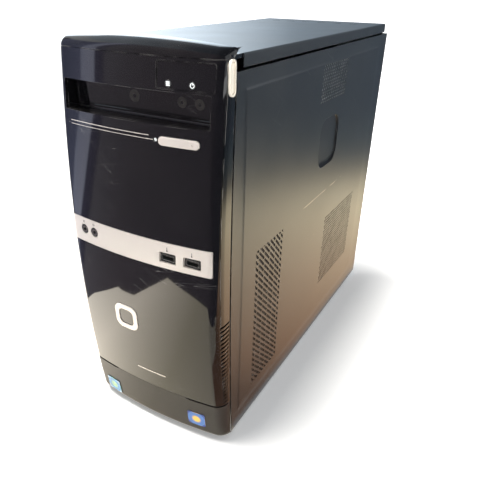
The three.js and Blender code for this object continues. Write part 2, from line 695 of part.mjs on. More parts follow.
function psuCase() {
  return cut(
    block([psuX, psuX + PSU_SIZE[0]], [psuFront, psuRear], [psuBottom, psuTop]),
    rod('y', PSU_FAN_RADIUS + BLADE_CLEAR, [psuFanY - 2, psuRear + 1], psuFanAt, 36),
    block(
      around(inletAt[0], INLET_SIZE[0] + 2 * CLEAR),
      [psuRear - 18, psuRear + 1],
      around(inletAt[1], INLET_SIZE[1] + 2 * CLEAR),
    ),
    block(around(inletAt[0], 16), [psuRear - 4, psuRear + 1], around(inletAt[1] + 38, 8)),
  );
}

function mainsInlet() {
  const y = [psuRear - 18 + CLEAR, psuRear + 2];
  const mouth = plateY(roundedShape(INLET_MOUTH, 3), [y[0] + 3, y[1] + 1], inletAt, 2);
  return cut(block(around(inletAt[0], INLET_SIZE[0]), y, around(inletAt[1], INLET_SIZE[1])), mouth);
}

add('psu_case', psuCase(), bareSteel);
const psuRotor = rotor(PSU_FAN_RADIUS, rotorDepth, 17);
add('psu_fan', psuRotor, blackPlastic, [psuFanAt[0], psuFanY, psuFanAt[1]]);
add('mains_inlet', mainsInlet(), blackPlastic);
add('voltage_switch', block(
  [inletAt[0] - 7.5, inletAt[0] - 0.5],
  [psuRear - 3.5, psuRear + 0.5],
  around(inletAt[1] + 38, 6.6),
), finish(0xb03028, 0.5));

// ---- mainboard and what stands on it ----
const onBoard = boardTop + CLEAR;
add('board_tray', block(
  [boardX - 7.5, boardX - 7.5 + SHEET],
  [boardY[0] - 15, rearInner - CLEAR],
  [4, BOARD_Z + BOARD_SIZE - 6],
), bareSteel);
add('mainboard', block([boardX, boardTop], boardY, [BOARD_Z, BOARD_Z + BOARD_SIZE - 4]), boardGreen);

function heatsink() {
  const base = 8;
  const tall = 40;
  const fins = 13;
  const across = around(0, 84);
  const parts = [
    block([onBoard + 3, onBoard + 3 + base], across, across),
    block([onBoard, onBoard + 4], around(0, 38), around(0, 38)),
  ];
  const finX = [onBoard + 2 + base, onBoard + tall];
  for (let i = 0; i < fins; i += 1) {
    parts.push(block(finX, around((i - (fins - 1) / 2) * 6.6, 1.6), across));
  }
  return join(...parts);
}

const heatsinkTop = onBoard + 40;
add('heatsink', heatsink(), aluminium, [0, cpuAt[0], cpuAt[1]]);
// The processor fan lies on the heatsink, its axis across the case.
const cpuFrame = add('cpu_fan_frame', rearFrame, blackPlastic, [heatsinkTop + CLEAR, ...cpuAt]);
cpuFrame.rotation.z = -Math.PI / 2;
const cpuFan = add('cpu_fan', rearRotor, blackPlastic, [heatsinkTop + CLEAR + 2, ...cpuAt]);
cpuFan.rotation.z = -Math.PI / 2;

function memoryModule() {
  const chips = [];
  for (let i = 0; i < 8; i += 1) {
    chips.push(block([10, 24], [1, 2.4], around((i - 3.5) * 15.4, 11)));
  }
  return join(block([0, 30], [0, 1.3], around(0, 133)), block([0, 8], [-3, 4.3], around(0, 141)), ...chips);
}

add('memory_module_1', memoryModule(), boardGreen, [onBoard, boardY[0] + 30, 110]);
add('memory_module_2', memoryModule(), boardGreen, [onBoard, boardY[0] + 42, 110]);
const cardY = SLOT_ON_BOARD.map((y) => boardY[0] + y);
add('card_slot', cut(
  block([onBoard, onBoard + 11], [cardY[0], cardY[1]], around(SLOT_FIRST_Z, 7.4)),
  block([onBoard + 3, onBoard + 12], [cardY[0] + 2, cardY[1] - 2], around(SLOT_FIRST_Z, 1.8)),
), blackPlastic);

// ---- rear connectors ----
const portY = [rearInner - 14, rearWall + 1.5];
const portBlocks = {
  keyboard_ports: { z: [26, 40], tall: 26 },
  video_port: { z: [50, 81], tall: 13 },
  network_block: { z: [102, 118.5], tall: 29 },
  audio_block: { z: [150, 163], tall: 36 },
};

function ioShield() {
  const holes = Object.values(portBlocks).map(({ z, tall }) => block(
    [onBoard - CLEAR, onBoard + tall + CLEAR],
    [rearInner - 5, rearWall + 5],
    [z[0] - CLEAR, z[1] + CLEAR],
  ));
  return cut(block([ioX, ioX + IO_SIZE[0]], [rearInner - 0.4, rearWall], [IO_Z, IO_Z + IO_SIZE[1]]), ...holes);
}

function portBlock(name, tools) {
  const { z, tall } = portBlocks[name];
  return cut(block([onBoard, onBoard + tall], portY, z), ...tools);
}

const mouthY = [portY[0] + 4, portY[1] + 1];
const middle = (name) => (portBlocks[name].z[0] + portBlocks[name].z[1]) / 2;
const socket = (name, x, [tall, wide]) => block(around(onBoard + x, tall), mouthY, around(middle(name), wide));
const roundSocket = (name, x, radius) => rod('y', radius, mouthY, [onBoard + x, middle(name)], 16);

add('io_shield', ioShield(), bareSteel);
add('keyboard_ports', portBlock('keyboard_ports', [
  roundSocket('keyboard_ports', 6.5, 4.4),
  roundSocket('keyboard_ports', 19.5, 4.4),
]), blackPlastic);
add('video_port', portBlock('video_port', []), bareSteel);
add('network_block', portBlock('network_block', [
  socket('network_block', 4.6, [5.2, 12.6]),
  socket('network_block', 12.4, [5.2, 12.6]),
  socket('network_block', 22.4, [8.6, 11.8]),
]), bareSteel);
const audioSockets = [6, 18, 30].map((x) => roundSocket('audio_block', x, JACK_BORE));
add('audio_block', portBlock('audio_block', audioSockets), blackPlastic);

// ---- cables ----
const plugAt = [onBoard, boardY[0] + 12, 215];
const plugX = [plugAt[0], plugAt[0] + 16];
add('power_plug', block(plugX, around(plugAt[1], 9), around(plugAt[2], 52)), blackPlastic);
add('power_cable', tube([
  [-40, psuFront - 2 * CLEAR, psuBottom + 26],
  [-40, psuFront - 16, psuBottom + 26],
  [-42, psuFront - 38, psuBottom - 2],
  [-43, plugAt[1] + 41, plugAt[2] + 30],
  [-43, plugAt[1] + 23, plugAt[2] + 11],
  [plugAt[0] + 28, plugAt[1], plugAt[2]],
  [plugAt[0] + 16 + 2 * CLEAR, plugAt[1], plugAt[2]],
], 4), blackPlastic);
const diskRear = 12 + DISK_SIZE[1];
add('data_cable', tube([
  [30, diskRear + CLEAR, cageFloor + 12],
  [30, diskRear + 18, cageFloor + 9],
  [14, diskRear + 34, cageFloor - 16],
  [-20, diskRear + 38, 205],
  [-48, boardY[0] + 74, 190],
  [onBoard, boardY[0] + 74, 188],
], 2.4), finish(0xb03028, 0.5));

// The origin is on the ground, under the middle of the whole machine.
tower.position.set(0, (FACE_CROWN - SIDE_DEPTH) / 2, FOOT_HEIGHT);
const computer = new THREE.Group();
computer.add(tower);

export default computer;
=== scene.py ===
# %% [markdown]
# # A desktop computer tower
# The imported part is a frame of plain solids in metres. This lesson dresses it: every cover, bezel and
# socket that the eye reaches is modelled again with rounded edges, punched holes and real wall
# thickness, and each finish is a material built from nodes.

# %% Load the frame
import math

import bpy
from mathutils import Matrix, Vector


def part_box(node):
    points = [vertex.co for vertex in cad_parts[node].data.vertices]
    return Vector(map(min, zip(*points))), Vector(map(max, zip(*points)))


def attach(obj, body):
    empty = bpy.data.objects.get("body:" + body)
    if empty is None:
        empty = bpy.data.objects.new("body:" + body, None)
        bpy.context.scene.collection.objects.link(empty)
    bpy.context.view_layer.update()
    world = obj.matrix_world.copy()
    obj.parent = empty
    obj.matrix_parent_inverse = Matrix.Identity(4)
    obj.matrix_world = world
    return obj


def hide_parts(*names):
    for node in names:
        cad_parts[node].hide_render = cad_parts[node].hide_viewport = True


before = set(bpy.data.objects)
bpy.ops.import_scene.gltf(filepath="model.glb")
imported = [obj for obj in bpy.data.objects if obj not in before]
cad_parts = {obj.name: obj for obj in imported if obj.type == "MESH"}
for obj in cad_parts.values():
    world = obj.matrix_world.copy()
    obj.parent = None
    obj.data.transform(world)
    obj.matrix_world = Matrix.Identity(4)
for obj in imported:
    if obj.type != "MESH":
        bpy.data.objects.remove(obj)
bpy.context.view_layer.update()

# %% [markdown]
# ## Working in millimetres
# A maker of cases thinks in millimetres, from the front edge of the top cover and the underside of the
# steel. Each piece is modelled there, then scaled to metres and moved once, so that its object ends at
# the origin with its place in its mesh.

# %% Millimetres to the frame
MM = 0.001
SHIFT = Vector((0.0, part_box("top_cover")[0][1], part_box("chassis_base")[0][2]))
print("top cover's front edge and the case underside", tuple(SHIFT))


def only(piece):
    """Selects one object and nothing else."""
    if bpy.context.object and bpy.context.object.mode != "OBJECT":
        bpy.ops.object.mode_set(mode="OBJECT")
    bpy.ops.object.select_all(action="DESELECT")
    piece.select_set(True)
    bpy.context.view_layer.objects.active = piece
    return piece


def bare(name):
    """Names the primitive that was just added."""
    piece = bpy.context.object
    piece.name = name
    bpy.ops.object.transform_apply(location=True, rotation=True, scale=True)
    return piece


def block(name, x, y, z):
    """A block between two places along each axis."""
    bpy.ops.object.select_all(action="DESELECT")
    middle = [(a + b) / 2 for a, b in (x, y, z)]
    size = [b - a for a, b in (x, y, z)]
    bpy.ops.mesh.primitive_cube_add(size=1, location=middle, scale=size)
    return bare(name)


TURNS = {"x": (0, math.pi / 2, 0), "y": (math.pi / 2, 0, 0), "z": (0, 0, 0)}


def rod(name, axis, radius, span, at, sides=32):
    """A round bar along one axis; at is its place across that axis, in x, y, z order."""
    bpy.ops.object.select_all(action="DESELECT")
    middle = list(at)
    middle.insert("xyz".index(axis), (span[0] + span[1]) / 2)
    bpy.ops.mesh.primitive_cylinder_add(
        vertices=sides, radius=radius, depth=span[1] - span[0], location=middle, rotation=TURNS[axis])
    return bare(name)


# %% [markdown]
# ## Edit-mode helpers
# Edges and faces are picked by where they are and which way they point, as a hand would pick them.

# %% Picking and shaping
def pick(piece, edges=None, faces=None, points=None):
    """Opens edit mode with the chosen edges, faces or points selected."""
    only(piece)
    bpy.ops.object.mode_set(mode="EDIT")
    kind = "EDGE" if edges else "FACE" if faces else "VERT"
    bpy.ops.mesh.select_mode(type=kind)
    bpy.ops.mesh.select_all(action="DESELECT")
    bpy.ops.object.mode_set(mode="OBJECT")
    mesh = piece.data
    if edges:
        for edge in mesh.edges:
            edge.select = edges(*[mesh.vertices[i].co for i in edge.vertices])
    if faces:
        for face in mesh.polygons:
            face.select = faces(face.center, face.normal)
    if points:
        for point in mesh.vertices:
            point.select = points(point.co)
    bpy.ops.object.mode_set(mode="EDIT")


def done():
    """Leaves edit mode."""
    bpy.ops.object.mode_set(mode="OBJECT")


def round_corners(piece, axis, radius, segments=6):
    """Bevels the edges that run along one axis."""
    k = "xyz".index(axis)
    others = [i for i in range(3) if i != k]
    pick(piece, edges=lambda a, b: all(abs(a[i] - b[i]) < 1e-4 for i in others))
    bpy.ops.mesh.bevel(offset=radius, segments=segments, affect="EDGES")
    done()
    return piece


def plate(name, axis, x, y, z, radius, segments=6):
    """A block with rounded corners seen along one axis."""
    return round_corners(block(name, x, y, z), axis, radius, segments)


def slice_at(piece, axis, places):
    """Cuts new edges across a piece at each place along an axis."""
    only(piece)
    bpy.ops.object.mode_set(mode="EDIT")
    normal = [float(axis == letter) for letter in "xyz"]
    for place in places:
        bpy.ops.mesh.select_all(action="SELECT")
        bpy.ops.mesh.bisect(plane_co=[place * part for part in normal], plane_no=normal)
    done()
    return piece


def apply(piece, kind, **settings):
    """Adds a modifier with its settings and applies it."""
    only(piece)
    step = piece.modifiers.new(kind, kind)
    for key, value in settings.items():
        setattr(step, key, value)
    bpy.ops.object.modifier_apply(modifier=step.name)
    return piece


def carve(piece, *tools, how="DIFFERENCE"):
    """Cuts, joins or clips a piece with other pieces, which are used up."""
    for tool in tools:
        apply(piece, "BOOLEAN", operation=how, object=tool, solver="MANIFOLD")
        bpy.data.objects.remove(tool)
    return piece


def soften(piece, width, segments=2, angle=50):
    """Bevels every edge that turns by more than an angle in degrees."""
    return apply(piece, "BEVEL", width=width, segments=segments, limit_method="ANGLE",
                 angle_limit=math.radians(angle), use_clamp_overlap=True)


def join(first, *others):
    """Joins pieces into the first."""
    only(first)
    for other in others:
        other.select_set(True)
    bpy.ops.object.join()
    return first


def copies(piece, offsets):
    """Copies of one modelled piece, each with its own mesh, joined into it."""
    made = []
    for offset in offsets:
        only(piece)
        bpy.ops.object.duplicate(linked=False)
        made.append(bpy.context.object)
        bpy.ops.transform.translate(value=offset)
        bpy.ops.object.transform_apply(location=True, rotation=False, scale=False)
    return join(piece, *made)


def repeat(piece, count, step):
    """Repeats a piece in a straight row, each copy a step further on."""
    return apply(piece, "ARRAY", count=count, use_relative_offset=False, use_constant_offset=True,
                 constant_offset_displace=step)


def move_points(piece, rule):
    """Moves every point by a rule, as a former presses a sheet over a curved block."""
    for point in piece.data.vertices:
        point.co = rule(point.co)
    piece.data.update()
    return piece


# %% [markdown]
# ## Finishes
# Grain, mottling, scratches, worn edges and dust are shared by many of the finishes, so each is a node
# group with named sockets. A group only puts out colours and masks; the shader stays in its material.

# %% Node group helpers
def colour(code):
    """The linear colour of a web colour code."""
    parts = [int(code[i:i + 2], 16) / 255 for i in (1, 3, 5)]
    return [c / 12.92 if c <= 0.04045 else ((c + 0.055) / 1.055) ** 2.4 for c in parts] + [1.0]


def new_group(name, inputs, outputs):
    """A node group with named sockets, and its inlet and outlet."""
    group = bpy.data.node_groups.new(name, "ShaderNodeTree")
    for label, kind, value in inputs:
        socket = group.interface.new_socket(name=label, in_out="INPUT", socket_type=f"NodeSocket{kind}")
        socket.default_value = value
    for label, kind in outputs:
        group.interface.new_socket(name=label, in_out="OUTPUT", socket_type=f"NodeSocket{kind}")
    return group, group.nodes.new("NodeGroupInput"), group.nodes.new("NodeGroupOutput")


def node(tree, kind, links=None, **settings):
    """Adds a node; links gives each of its sockets a value or the socket that feeds it."""
    made = tree.nodes.new(kind)
    for key, value in settings.items():
        setattr(made, key, value)
    for key, source in (links or {}).items():
        if hasattr(source, "links"):
            tree.links.new(source, made.inputs[key])
        else:
            made.inputs[key].default_value = source
    return made


def ramp(tree, source, low, high):
    """A mask that rises from 0 to 1 between two values."""
    return node(tree, "ShaderNodeMapRange", {0: source, 1: low, 2: high},
                interpolation_type="SMOOTHSTEP").outputs[0]


def maths(tree, operation, *values, **settings):
    """One sum on values or sockets."""
    return node(tree, "ShaderNodeMath", dict(enumerate(values)), operation=operation, **settings).outputs[0]


def times(tree, a, b):
    """Two masks or values multiplied."""
    return maths(tree, "MULTIPLY", a, b)


def noise(tree, spot, size, detail):
    """A soft random pattern; a larger size number makes it finer."""
    return node(tree, "ShaderNodeTexNoise", {"Vector": spot, "Scale": size, "Detail": detail}).outputs[0]


def spot_on(tree):
    """The place on the piece, in metres."""
    return node(tree, "ShaderNodeTexCoord").outputs["Object"]


def blend_colour(tree, mask, a, b):
    """The first colour where the mask is 0, the second where it is 1."""
    return node(tree, "ShaderNodeMix", {0: mask, 6: a, 7: b}, data_type="RGBA").outputs[2]


# %% Grain: the fine tooth of powder paint or moulded plastic
grain, inlet, outlet = new_group(
    "Grain", [("Size", "Float", 900.0), ("Mottle Size", "Float", 9.0)],
    [("Height", "Float"), ("Mottle", "Float")])
spot = spot_on(grain)
grain.links.new(noise(grain, spot, inlet.outputs["Size"], 3.0), outlet.inputs["Height"])
grain.links.new(noise(grain, spot, inlet.outputs["Mottle Size"], 5.0), outlet.inputs["Mottle"])

# %% Scratches: long thin scuffs that only show in patches
STREAK_PULL = (22.0, 9.0, 420.0)   # the noise is drawn out until only thin streaks are left
STREAK_LEVEL = 0.72
scratches, inlet, outlet = new_group(
    "Scratches", [("Size", "Float", 1.0), ("Amount", "Float", 0.4)], [("Mask", "Float")])
spot = spot_on(scratches)
masks = []
for turn in (0.5, -0.85):
    turned = node(scratches, "ShaderNodeMapping",
                  {"Vector": spot, "Rotation": (turn, turn * 0.4, turn * 1.3)})
    pulled = node(scratches, "ShaderNodeMapping", {"Vector": turned.outputs[0], "Scale": STREAK_PULL})
    streaks = noise(scratches, pulled.outputs[0], inlet.outputs["Size"], 0.0)
    near = maths(scratches, "ABSOLUTE", maths(scratches, "SUBTRACT", streaks, STREAK_LEVEL))
    masks.append(ramp(scratches, near, 0.012, 0.002))
lines = maths(scratches, "MAXIMUM", *masks)
shown = times(scratches, lines, ramp(scratches, noise(scratches, spot, 16.0, 3.0), 0.5, 0.64))
scratches.links.new(times(scratches, shown, inlet.outputs["Amount"]), outlet.inputs["Mask"])

# %% Worn edges: handling polishes and chips the sharpest edges first
edge_wear, inlet, outlet = new_group(
    "Edge Wear", [("Amount", "Float", 0.6), ("Patch Size", "Float", 60.0), ("Width", "Float", 0.0006)],
    [("Mask", "Float")])
rounded = node(edge_wear, "ShaderNodeBevel", {"Radius": inlet.outputs["Width"]}, samples=4)
flat = node(edge_wear, "ShaderNodeNewGeometry").outputs["Normal"]
turned = node(edge_wear, "ShaderNodeVectorMath", {0: rounded.outputs[0], 1: flat}, operation="DOT_PRODUCT")
patches = noise(edge_wear, spot_on(edge_wear), inlet.outputs["Patch Size"], 6.0)
bent = ramp(edge_wear, turned.outputs["Value"], 0.985, 0.9)
worn = times(edge_wear, bent, ramp(edge_wear, patches, 0.42, 0.6))
edge_wear.links.new(times(edge_wear, worn, inlet.outputs["Amount"]), outlet.inputs["Mask"])

# %% Dust: a thin film that settles on what faces up, in soft clouds
dust, inlet, outlet = new_group(
    "Dust", [("Amount", "Float", 0.3), ("Cloud Size", "Float", 18.0)], [("Mask", "Float")])
spot = spot_on(dust)
facing = node(dust, "ShaderNodeNewGeometry").outputs["Normal"]
facing = node(dust, "ShaderNodeSeparateXYZ", {0: facing}).outputs[2]
cloud = noise(dust, spot, inlet.outputs["Cloud Size"], 7.0)
film = times(dust, ramp(dust, facing, -0.3, 1.0), ramp(dust, cloud, 0.35, 0.75))
specks = times(dust, ramp(dust, noise(dust, spot, 700.0, 2.0), 0.62, 0.7), 0.35)
speckled = maths(dust, "ADD", film, specks, use_clamp=True)
dust.links.new(times(dust, speckled, inlet.outputs["Amount"]), outlet.inputs["Mask"])


# %% [markdown]
# ## One recipe, many finishes
# Paint, plastic, chrome and zinc differ in numbers more than in kind: a base colour that mottles a
# little, a roughness that varies, a tooth in the bump, then scratches, worn edges and dust laid over.

# %% The finish recipe
DUST = colour("#b9b2a6")
MOTTLE = (0.3, 0.7)    # the part of the broad noise that is used
DUST_DULLS = 0.4       # what full dust adds to the roughness
SCRATCH_CUTS = -0.8    # what a full scratch takes off the height
finishes = {}


def finish(name, base, second, rough, metal=0.0, tooth=900.0, depth=0.00002, mottle=9.0, scratch=0.3,
           wear=0.4, worn="#c9c6c0", dusty=0.15, coat=0.0, coat_rough=0.05, spread=0.08, extra=None):
    """Builds one material; extra may paint over the base tint before the wear is laid on."""
    material = bpy.data.materials.new(name)
    material.use_nodes = True
    tree = material.node_tree
    shader = tree.nodes["Principled BSDF"]

    def use(group, **values):
        made = node(tree, "ShaderNodeGroup", node_tree=group)
        for key, value in values.items():
            made.inputs[key.replace("_", " ")].default_value = value
        return made.outputs

    body = use(grain, Size=tooth, Mottle_Size=mottle)
    lined = use(scratches, Amount=scratch)["Mask"]
    rubbed = use(edge_wear, Amount=wear)["Mask"]
    dusted = use(dust, Amount=dusty)["Mask"]
    tint = blend_colour(tree, ramp(tree, body["Mottle"], *MOTTLE), colour(base), colour(second))
    if extra:
        tint = extra(tree, tint)
    tint = blend_colour(tree, lined, tint, colour(worn))
    tint = blend_colour(tree, rubbed, tint, colour(worn))
    tint = blend_colour(tree, dusted, tint, DUST)
    tree.links.new(tint, shader.inputs["Base Color"])
    varied = node(tree, "ShaderNodeMapRange", {0: body["Mottle"], 1: MOTTLE[0], 2: MOTTLE[1],
                                               3: rough - spread, 4: rough + spread}).outputs[0]
    dulled = maths(tree, "ADD", varied, times(tree, dusted, DUST_DULLS), use_clamp=True)
    tree.links.new(dulled, shader.inputs["Roughness"])
    shader.inputs["Metallic"].default_value = metal
    shader.inputs["Coat Weight"].default_value = coat
    shader.inputs["Coat Roughness"].default_value = coat_rough
    height = maths(tree, "ADD", body["Height"], times(tree, lined, SCRATCH_CUTS))
    bump = node(tree, "ShaderNodeBump", {"Height": height, "Distance": depth, "Strength": 1.0})
    tree.links.new(bump.outputs[0], shader.inputs["Normal"])
    finishes[name] = material


# %% The finishes on this machine
POWDER = dict(base="#484c50", second="#4f5255", rough=0.33, metal=0.75, tooth=1400, mottle=14, scratch=0.08,
              wear=0.5, coat=0.6, coat_rough=0.22, spread=0.03, dusty=0.08)
finish("case paint", **POWDER)
finish("gloss black", "#08080b", "#0c0b0e", 0.06, tooth=60, depth=0.000001, scratch=0.1, wear=0.15,
       dusty=0.012, coat=1.0, coat_rough=0.02, spread=0.015)
finish("gloss trim", "#08080a", "#0b0b0d", 0.12, tooth=80, depth=0.000001, scratch=0.12, wear=0.2,
       dusty=0.015, coat=1.0, coat_rough=0.05, spread=0.02)
finish("satin plastic", "#2e2b29", "#34302d", 0.38, tooth=1100, scratch=0.1, wear=0.25,
       worn="#6e6862", dusty=0.06)
finish("silver paint", "#d9d0c8", "#e2dad0", 0.3, metal=0.45, tooth=1500, scratch=0.08, wear=0.2,
       dusty=0.04, spread=0.03)
finish("chrome", "#dcdad6", "#cfcdc9", 0.1, metal=1.0, tooth=200, depth=0.000001, scratch=0.15, wear=0.1,
       dusty=0.03, spread=0.03)
# Chrome for the power key and its frame: the cream base colour and low metal are a painted reflection of
# the warm table, which real chrome would mirror.
finish("chrome with painted reflection", "#fff6e6", "#f4ead8", 0.3, metal=0.35, tooth=300, depth=0.000002, scratch=0.15,
       wear=0.1, dusty=0.03, spread=0.03)
finish("black plastic", "#151517", "#1b1b1d", 0.5, tooth=1000, depth=0.00004, wear=0.2, worn="#4a4a4a")
finish("zinc steel", "#b2b5b7", "#bcbfc1", 0.34, metal=0.95, tooth=500, mottle=60, wear=0.2,
       dusty=0.04)
finish("white lens", "#eef1f0", "#dfe3e4", 0.25, tooth=400, scratch=0.05, wear=0.0, dusty=0.05)
finish("rubber", "#1b1b1b", "#222120", 0.85, tooth=700, depth=0.00008, wear=0.3, worn="#55524e", dusty=0.2)
finish("board green", "#1d4a2c", "#245a35", 0.42, tooth=300, mottle=120, wear=0.1, worn="#8f9a70")
finish("cast alloy", "#b4b7ba", "#a3a6a9", 0.38, metal=0.9, tooth=600, mottle=40, wear=0.2)
finish("red plastic", "#a32a22", "#8e221c", 0.45, tooth=800, wear=0.2, worn="#d08a80")
finish("gold contact", "#d9b25a", "#c79c45", 0.25, metal=1.0, tooth=300, wear=0.0, dusty=0.02)
print("finishes", sorted(finishes))

# %% Handing a modelled piece over to the frame
SMOOTH = math.radians(32)


def hand_over(piece, material, body, node_name, second=None):
    """Scales a piece to metres, puts it in the frame, gives it its finish and body, and hides the frame
    node it replaces, if any.

    second is another finish and the rule that says which faces have it."""
    only(piece)
    piece.scale = (MM, MM, MM)
    piece.location = SHIFT
    bpy.ops.object.transform_apply(location=True, rotation=True, scale=True)
    piece.data.materials.clear()
    piece.data.materials.append(finishes[material])
    if second:
        name, where = second
        piece.data.materials.append(finishes[name])
        for face in piece.data.polygons:
            face.material_index = int(where(face.center))
    bpy.ops.object.shade_smooth_by_angle(angle=SMOOTH)
    apply(piece, "WEIGHTED_NORMAL", keep_sharp=True, weight=100)
    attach(piece, body)
    if node_name:
        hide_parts(node_name)
    print(piece.name, "faces", len(piece.data.polygons))


# %% [markdown]
# ## The bowed front
# The front is a shallow barrel: it bows from side to side and from top to bottom, rolls over at the
# upright corners and along the top and bottom edges. Every front piece is modelled flat, with y
# counted inwards from the face, and then pressed over this one surface, so that the pieces stay flush.

# %% The face as a surface
HALF = 82.5
BEZEL_HALF = 81.9
FACE_CROWN, CROWN_Z, SIDE_RADIUS = 41.0, 190.0, 1300.0
PLAN_BOW, PLAN_AT = 5.5, 70.0
CORNER, TOP_ROLL, BOTTOM_ROLL = 10.0, 9.0, 5.0
BEZEL_TOP, TOP_DROP = 374.5, 4.2
CLOSES_FROM = 355.0    # above this the front closes up to its curved top edge
SEAM_AT, SEAM_BOW, SEAM_GAP = 13.3, 3100.0, 2.8


def top_edge(x):
    """The height of the bezel's top edge, which is a shallow arch."""
    return BEZEL_TOP - TOP_DROP * (x / HALF) ** 2


def roll(radius, over):
    """How far a rounded edge has fallen back, a distance past its start."""
    return 0.0 if over <= 0 else radius - math.sqrt(max(0.0, radius ** 2 - over ** 2))


def face_y(x, z):
    """The depth of the bowed face."""
    return (-FACE_CROWN + PLAN_BOW * (x / PLAN_AT) ** 2 + roll(CORNER, abs(x) - (BEZEL_HALF - CORNER))
            + (z - CROWN_Z) ** 2 / (2 * SIDE_RADIUS) + roll(TOP_ROLL, z - (top_edge(x) - TOP_ROLL))
            + roll(BOTTOM_ROLL, BOTTOM_ROLL - z))


def seam_y(z):
    """The depth of the bowed seam between the bezel and the side covers."""
    return -SEAM_AT + (z - CROWN_Z) ** 2 / (2 * SEAM_BOW)


def steps(start, end, count):
    """Even places between two ends."""
    return [start + (end - start) * i / count for i in range(1, count)]


def corner_steps(count, reach=90):
    """Places that crowd together towards the outer end of a rounded corner."""
    return [math.sin(math.radians(reach) * i / count) for i in range(count + 1)]


FLAT_HALF = BEZEL_HALF - CORNER
COLUMNS = steps(-FLAT_HALF, FLAT_HALF, 18)
COLUMNS += [side * (FLAT_HALF + CORNER * t) for side in (-1, 1) for t in corner_steps(8)[:-1]]
LAST_ROW = 362
ROWS = steps(BOTTOM_ROLL, LAST_ROW, 26) + [BOTTOM_ROLL * (1 - t) for t in corner_steps(5)[:-1]]
print("columns", len(COLUMNS), "rows", len(ROWS))


def within(places, ends):
    """The places that lie clear of both ends."""
    return [place for place in places if ends[0] + 0.05 < place < ends[1] - 0.05]


def press_over_face(piece, x, z):
    """Slices a flat piece finely and lays it over the bowed face."""
    slice_at(piece, "x", within(COLUMNS, x))
    slice_at(piece, "z", within(ROWS, z))
    return move_points(piece, lambda p: Vector((p.x, p.y + face_y(p.x, p.z), p.z)))


def bowed_block(name, x, z, front=0.0, back=3.0, rear=None, top=None):
    """A block whose front lies on the face; its back is an offset from the face, or a rule of z."""
    piece = block(name, x, (0, 1), z)
    slice_at(piece, "x", within(COLUMNS, x))
    levels = within(ROWS, z)
    if top:
        levels += [z[1] - TOP_ROLL * (1 - t) for t in corner_steps(7)[:-1]]
    slice_at(piece, "z", levels)

    def rule(p):
        height = p.z
        if top and height > CLOSES_FROM:
            height -= (z[1] - top(p.x)) * (height - CLOSES_FROM) / (z[1] - CLOSES_FROM)
        if p.y < 0.5:
            return Vector((p.x, face_y(p.x, height) + front, height))
        return Vector((p.x, rear(height) if rear else face_y(p.x, height) + back, height))
    return move_points(piece, rule)


# %% [markdown]
# ## Bezel housing
# On the real machine this is one moulding in satin plastic: it carries the gloss front in a pocket,
# wraps back to the steel covers and has louvres in its sides that let air in. A solid block is bowed,
# hollowed by a second block, and the pocket, tunnel and openings are cut as the mould's cores would.

# %% Model the bezel housing
WALL, GLOSS_THICK, GAP = 2.5, 3.0, 0.4
GLOSS_HALF, GLOSS_Z = 80.2, (47.3, 362.7)
BAY_HALF, BAY_Z, BAY_FACE = 71.5, (314.6, 339.1), 15.5
BAND_HALF, BAND_Z = 76.0, (195.0, 219.3)
STATUS_X, STATUS_Z = (26.5, 73.5), (341.2, 361.5)
PILL_X, PILL_AT, PILL_TALL = (29.0, 64.0), 303.3, 6.6
POWER_AT, POWER_SIZE, POWER_RIM = (-14.9, 350.6), (8.0, 25.5), 1.8
BACKING = GLOSS_THICK + GAP          # from the face to the floor of the gloss front's pocket
LIP_Y, LIP_Z = (-16, -GAP), (363, 366)
FRONT_CUT, LAMP_CUT = (-50.0, 0.0), (-50.0, -18.0)
PORTS_HALF, PILL_ROOM = 67, 5.3


def wider(ends, room=GAP):
    """Two ends with room added beyond each."""
    return ends[0] - room, ends[1] + room


housing = bowed_block("bezel_housing", (-BEZEL_HALF, BEZEL_HALF), (0, BEZEL_TOP), top=top_edge,
                      rear=lambda z: seam_y(z) - SEAM_GAP / 2)
hollow = bowed_block("hollow", (WALL - BEZEL_HALF, BEZEL_HALF - WALL), (WALL, BEZEL_TOP - WALL),
                     front=BACKING + WALL, rear=lambda z: 2.0, top=lambda x: top_edge(x) - WALL)
pocket = bowed_block("pocket", wider((-GLOSS_HALF, GLOSS_HALF)), wider(GLOSS_Z), front=-CORNER,
                     back=BACKING)
carve(housing, hollow, pocket)
tunnel = bowed_block("tunnel", wider((-BAY_HALF, BAY_HALF), WALL), wider(BAY_Z, WALL),
                     front=BACKING + 0.8, rear=lambda z: -BAY_FACE + WALL)
carve(housing, tunnel, how="UNION")
lip = block("lip", (GAP - BEZEL_HALF, BEZEL_HALF - GAP), LIP_Y, LIP_Z)
carve(housing, lip, how="UNION")
carve(housing,
      plate("bay", "y", (-BAY_HALF, BAY_HALF), (-50, 2), BAY_Z, 1.2, 4),
      block("ports", (-PORTS_HALF, PORTS_HALF), FRONT_CUT, wider(BAND_Z, -3)),
      block("pill room", (PILL_X[0] - 8, PILL_X[1] + 2), FRONT_CUT,
            (PILL_AT - PILL_ROOM, PILL_AT + PILL_ROOM)),
      block("lamp room", wider(STATUS_X, -4), LAMP_CUT, (STATUS_Z[0] + 0.6, STATUS_Z[0] + 9)))


def power_outline(name, grow, x):
    """The rounded outline that the power button, its frame and their opening share."""
    y0, z0 = POWER_AT
    w, h = POWER_SIZE[0] / 2 + grow, POWER_SIZE[1] / 2 + grow
    return plate(name, "x", x, (y0 - w, y0 + w), (z0 - h, z0 + h), w - 0.3, 8)


carve(housing, power_outline("power room", GAP, (74.0, 84.0)))

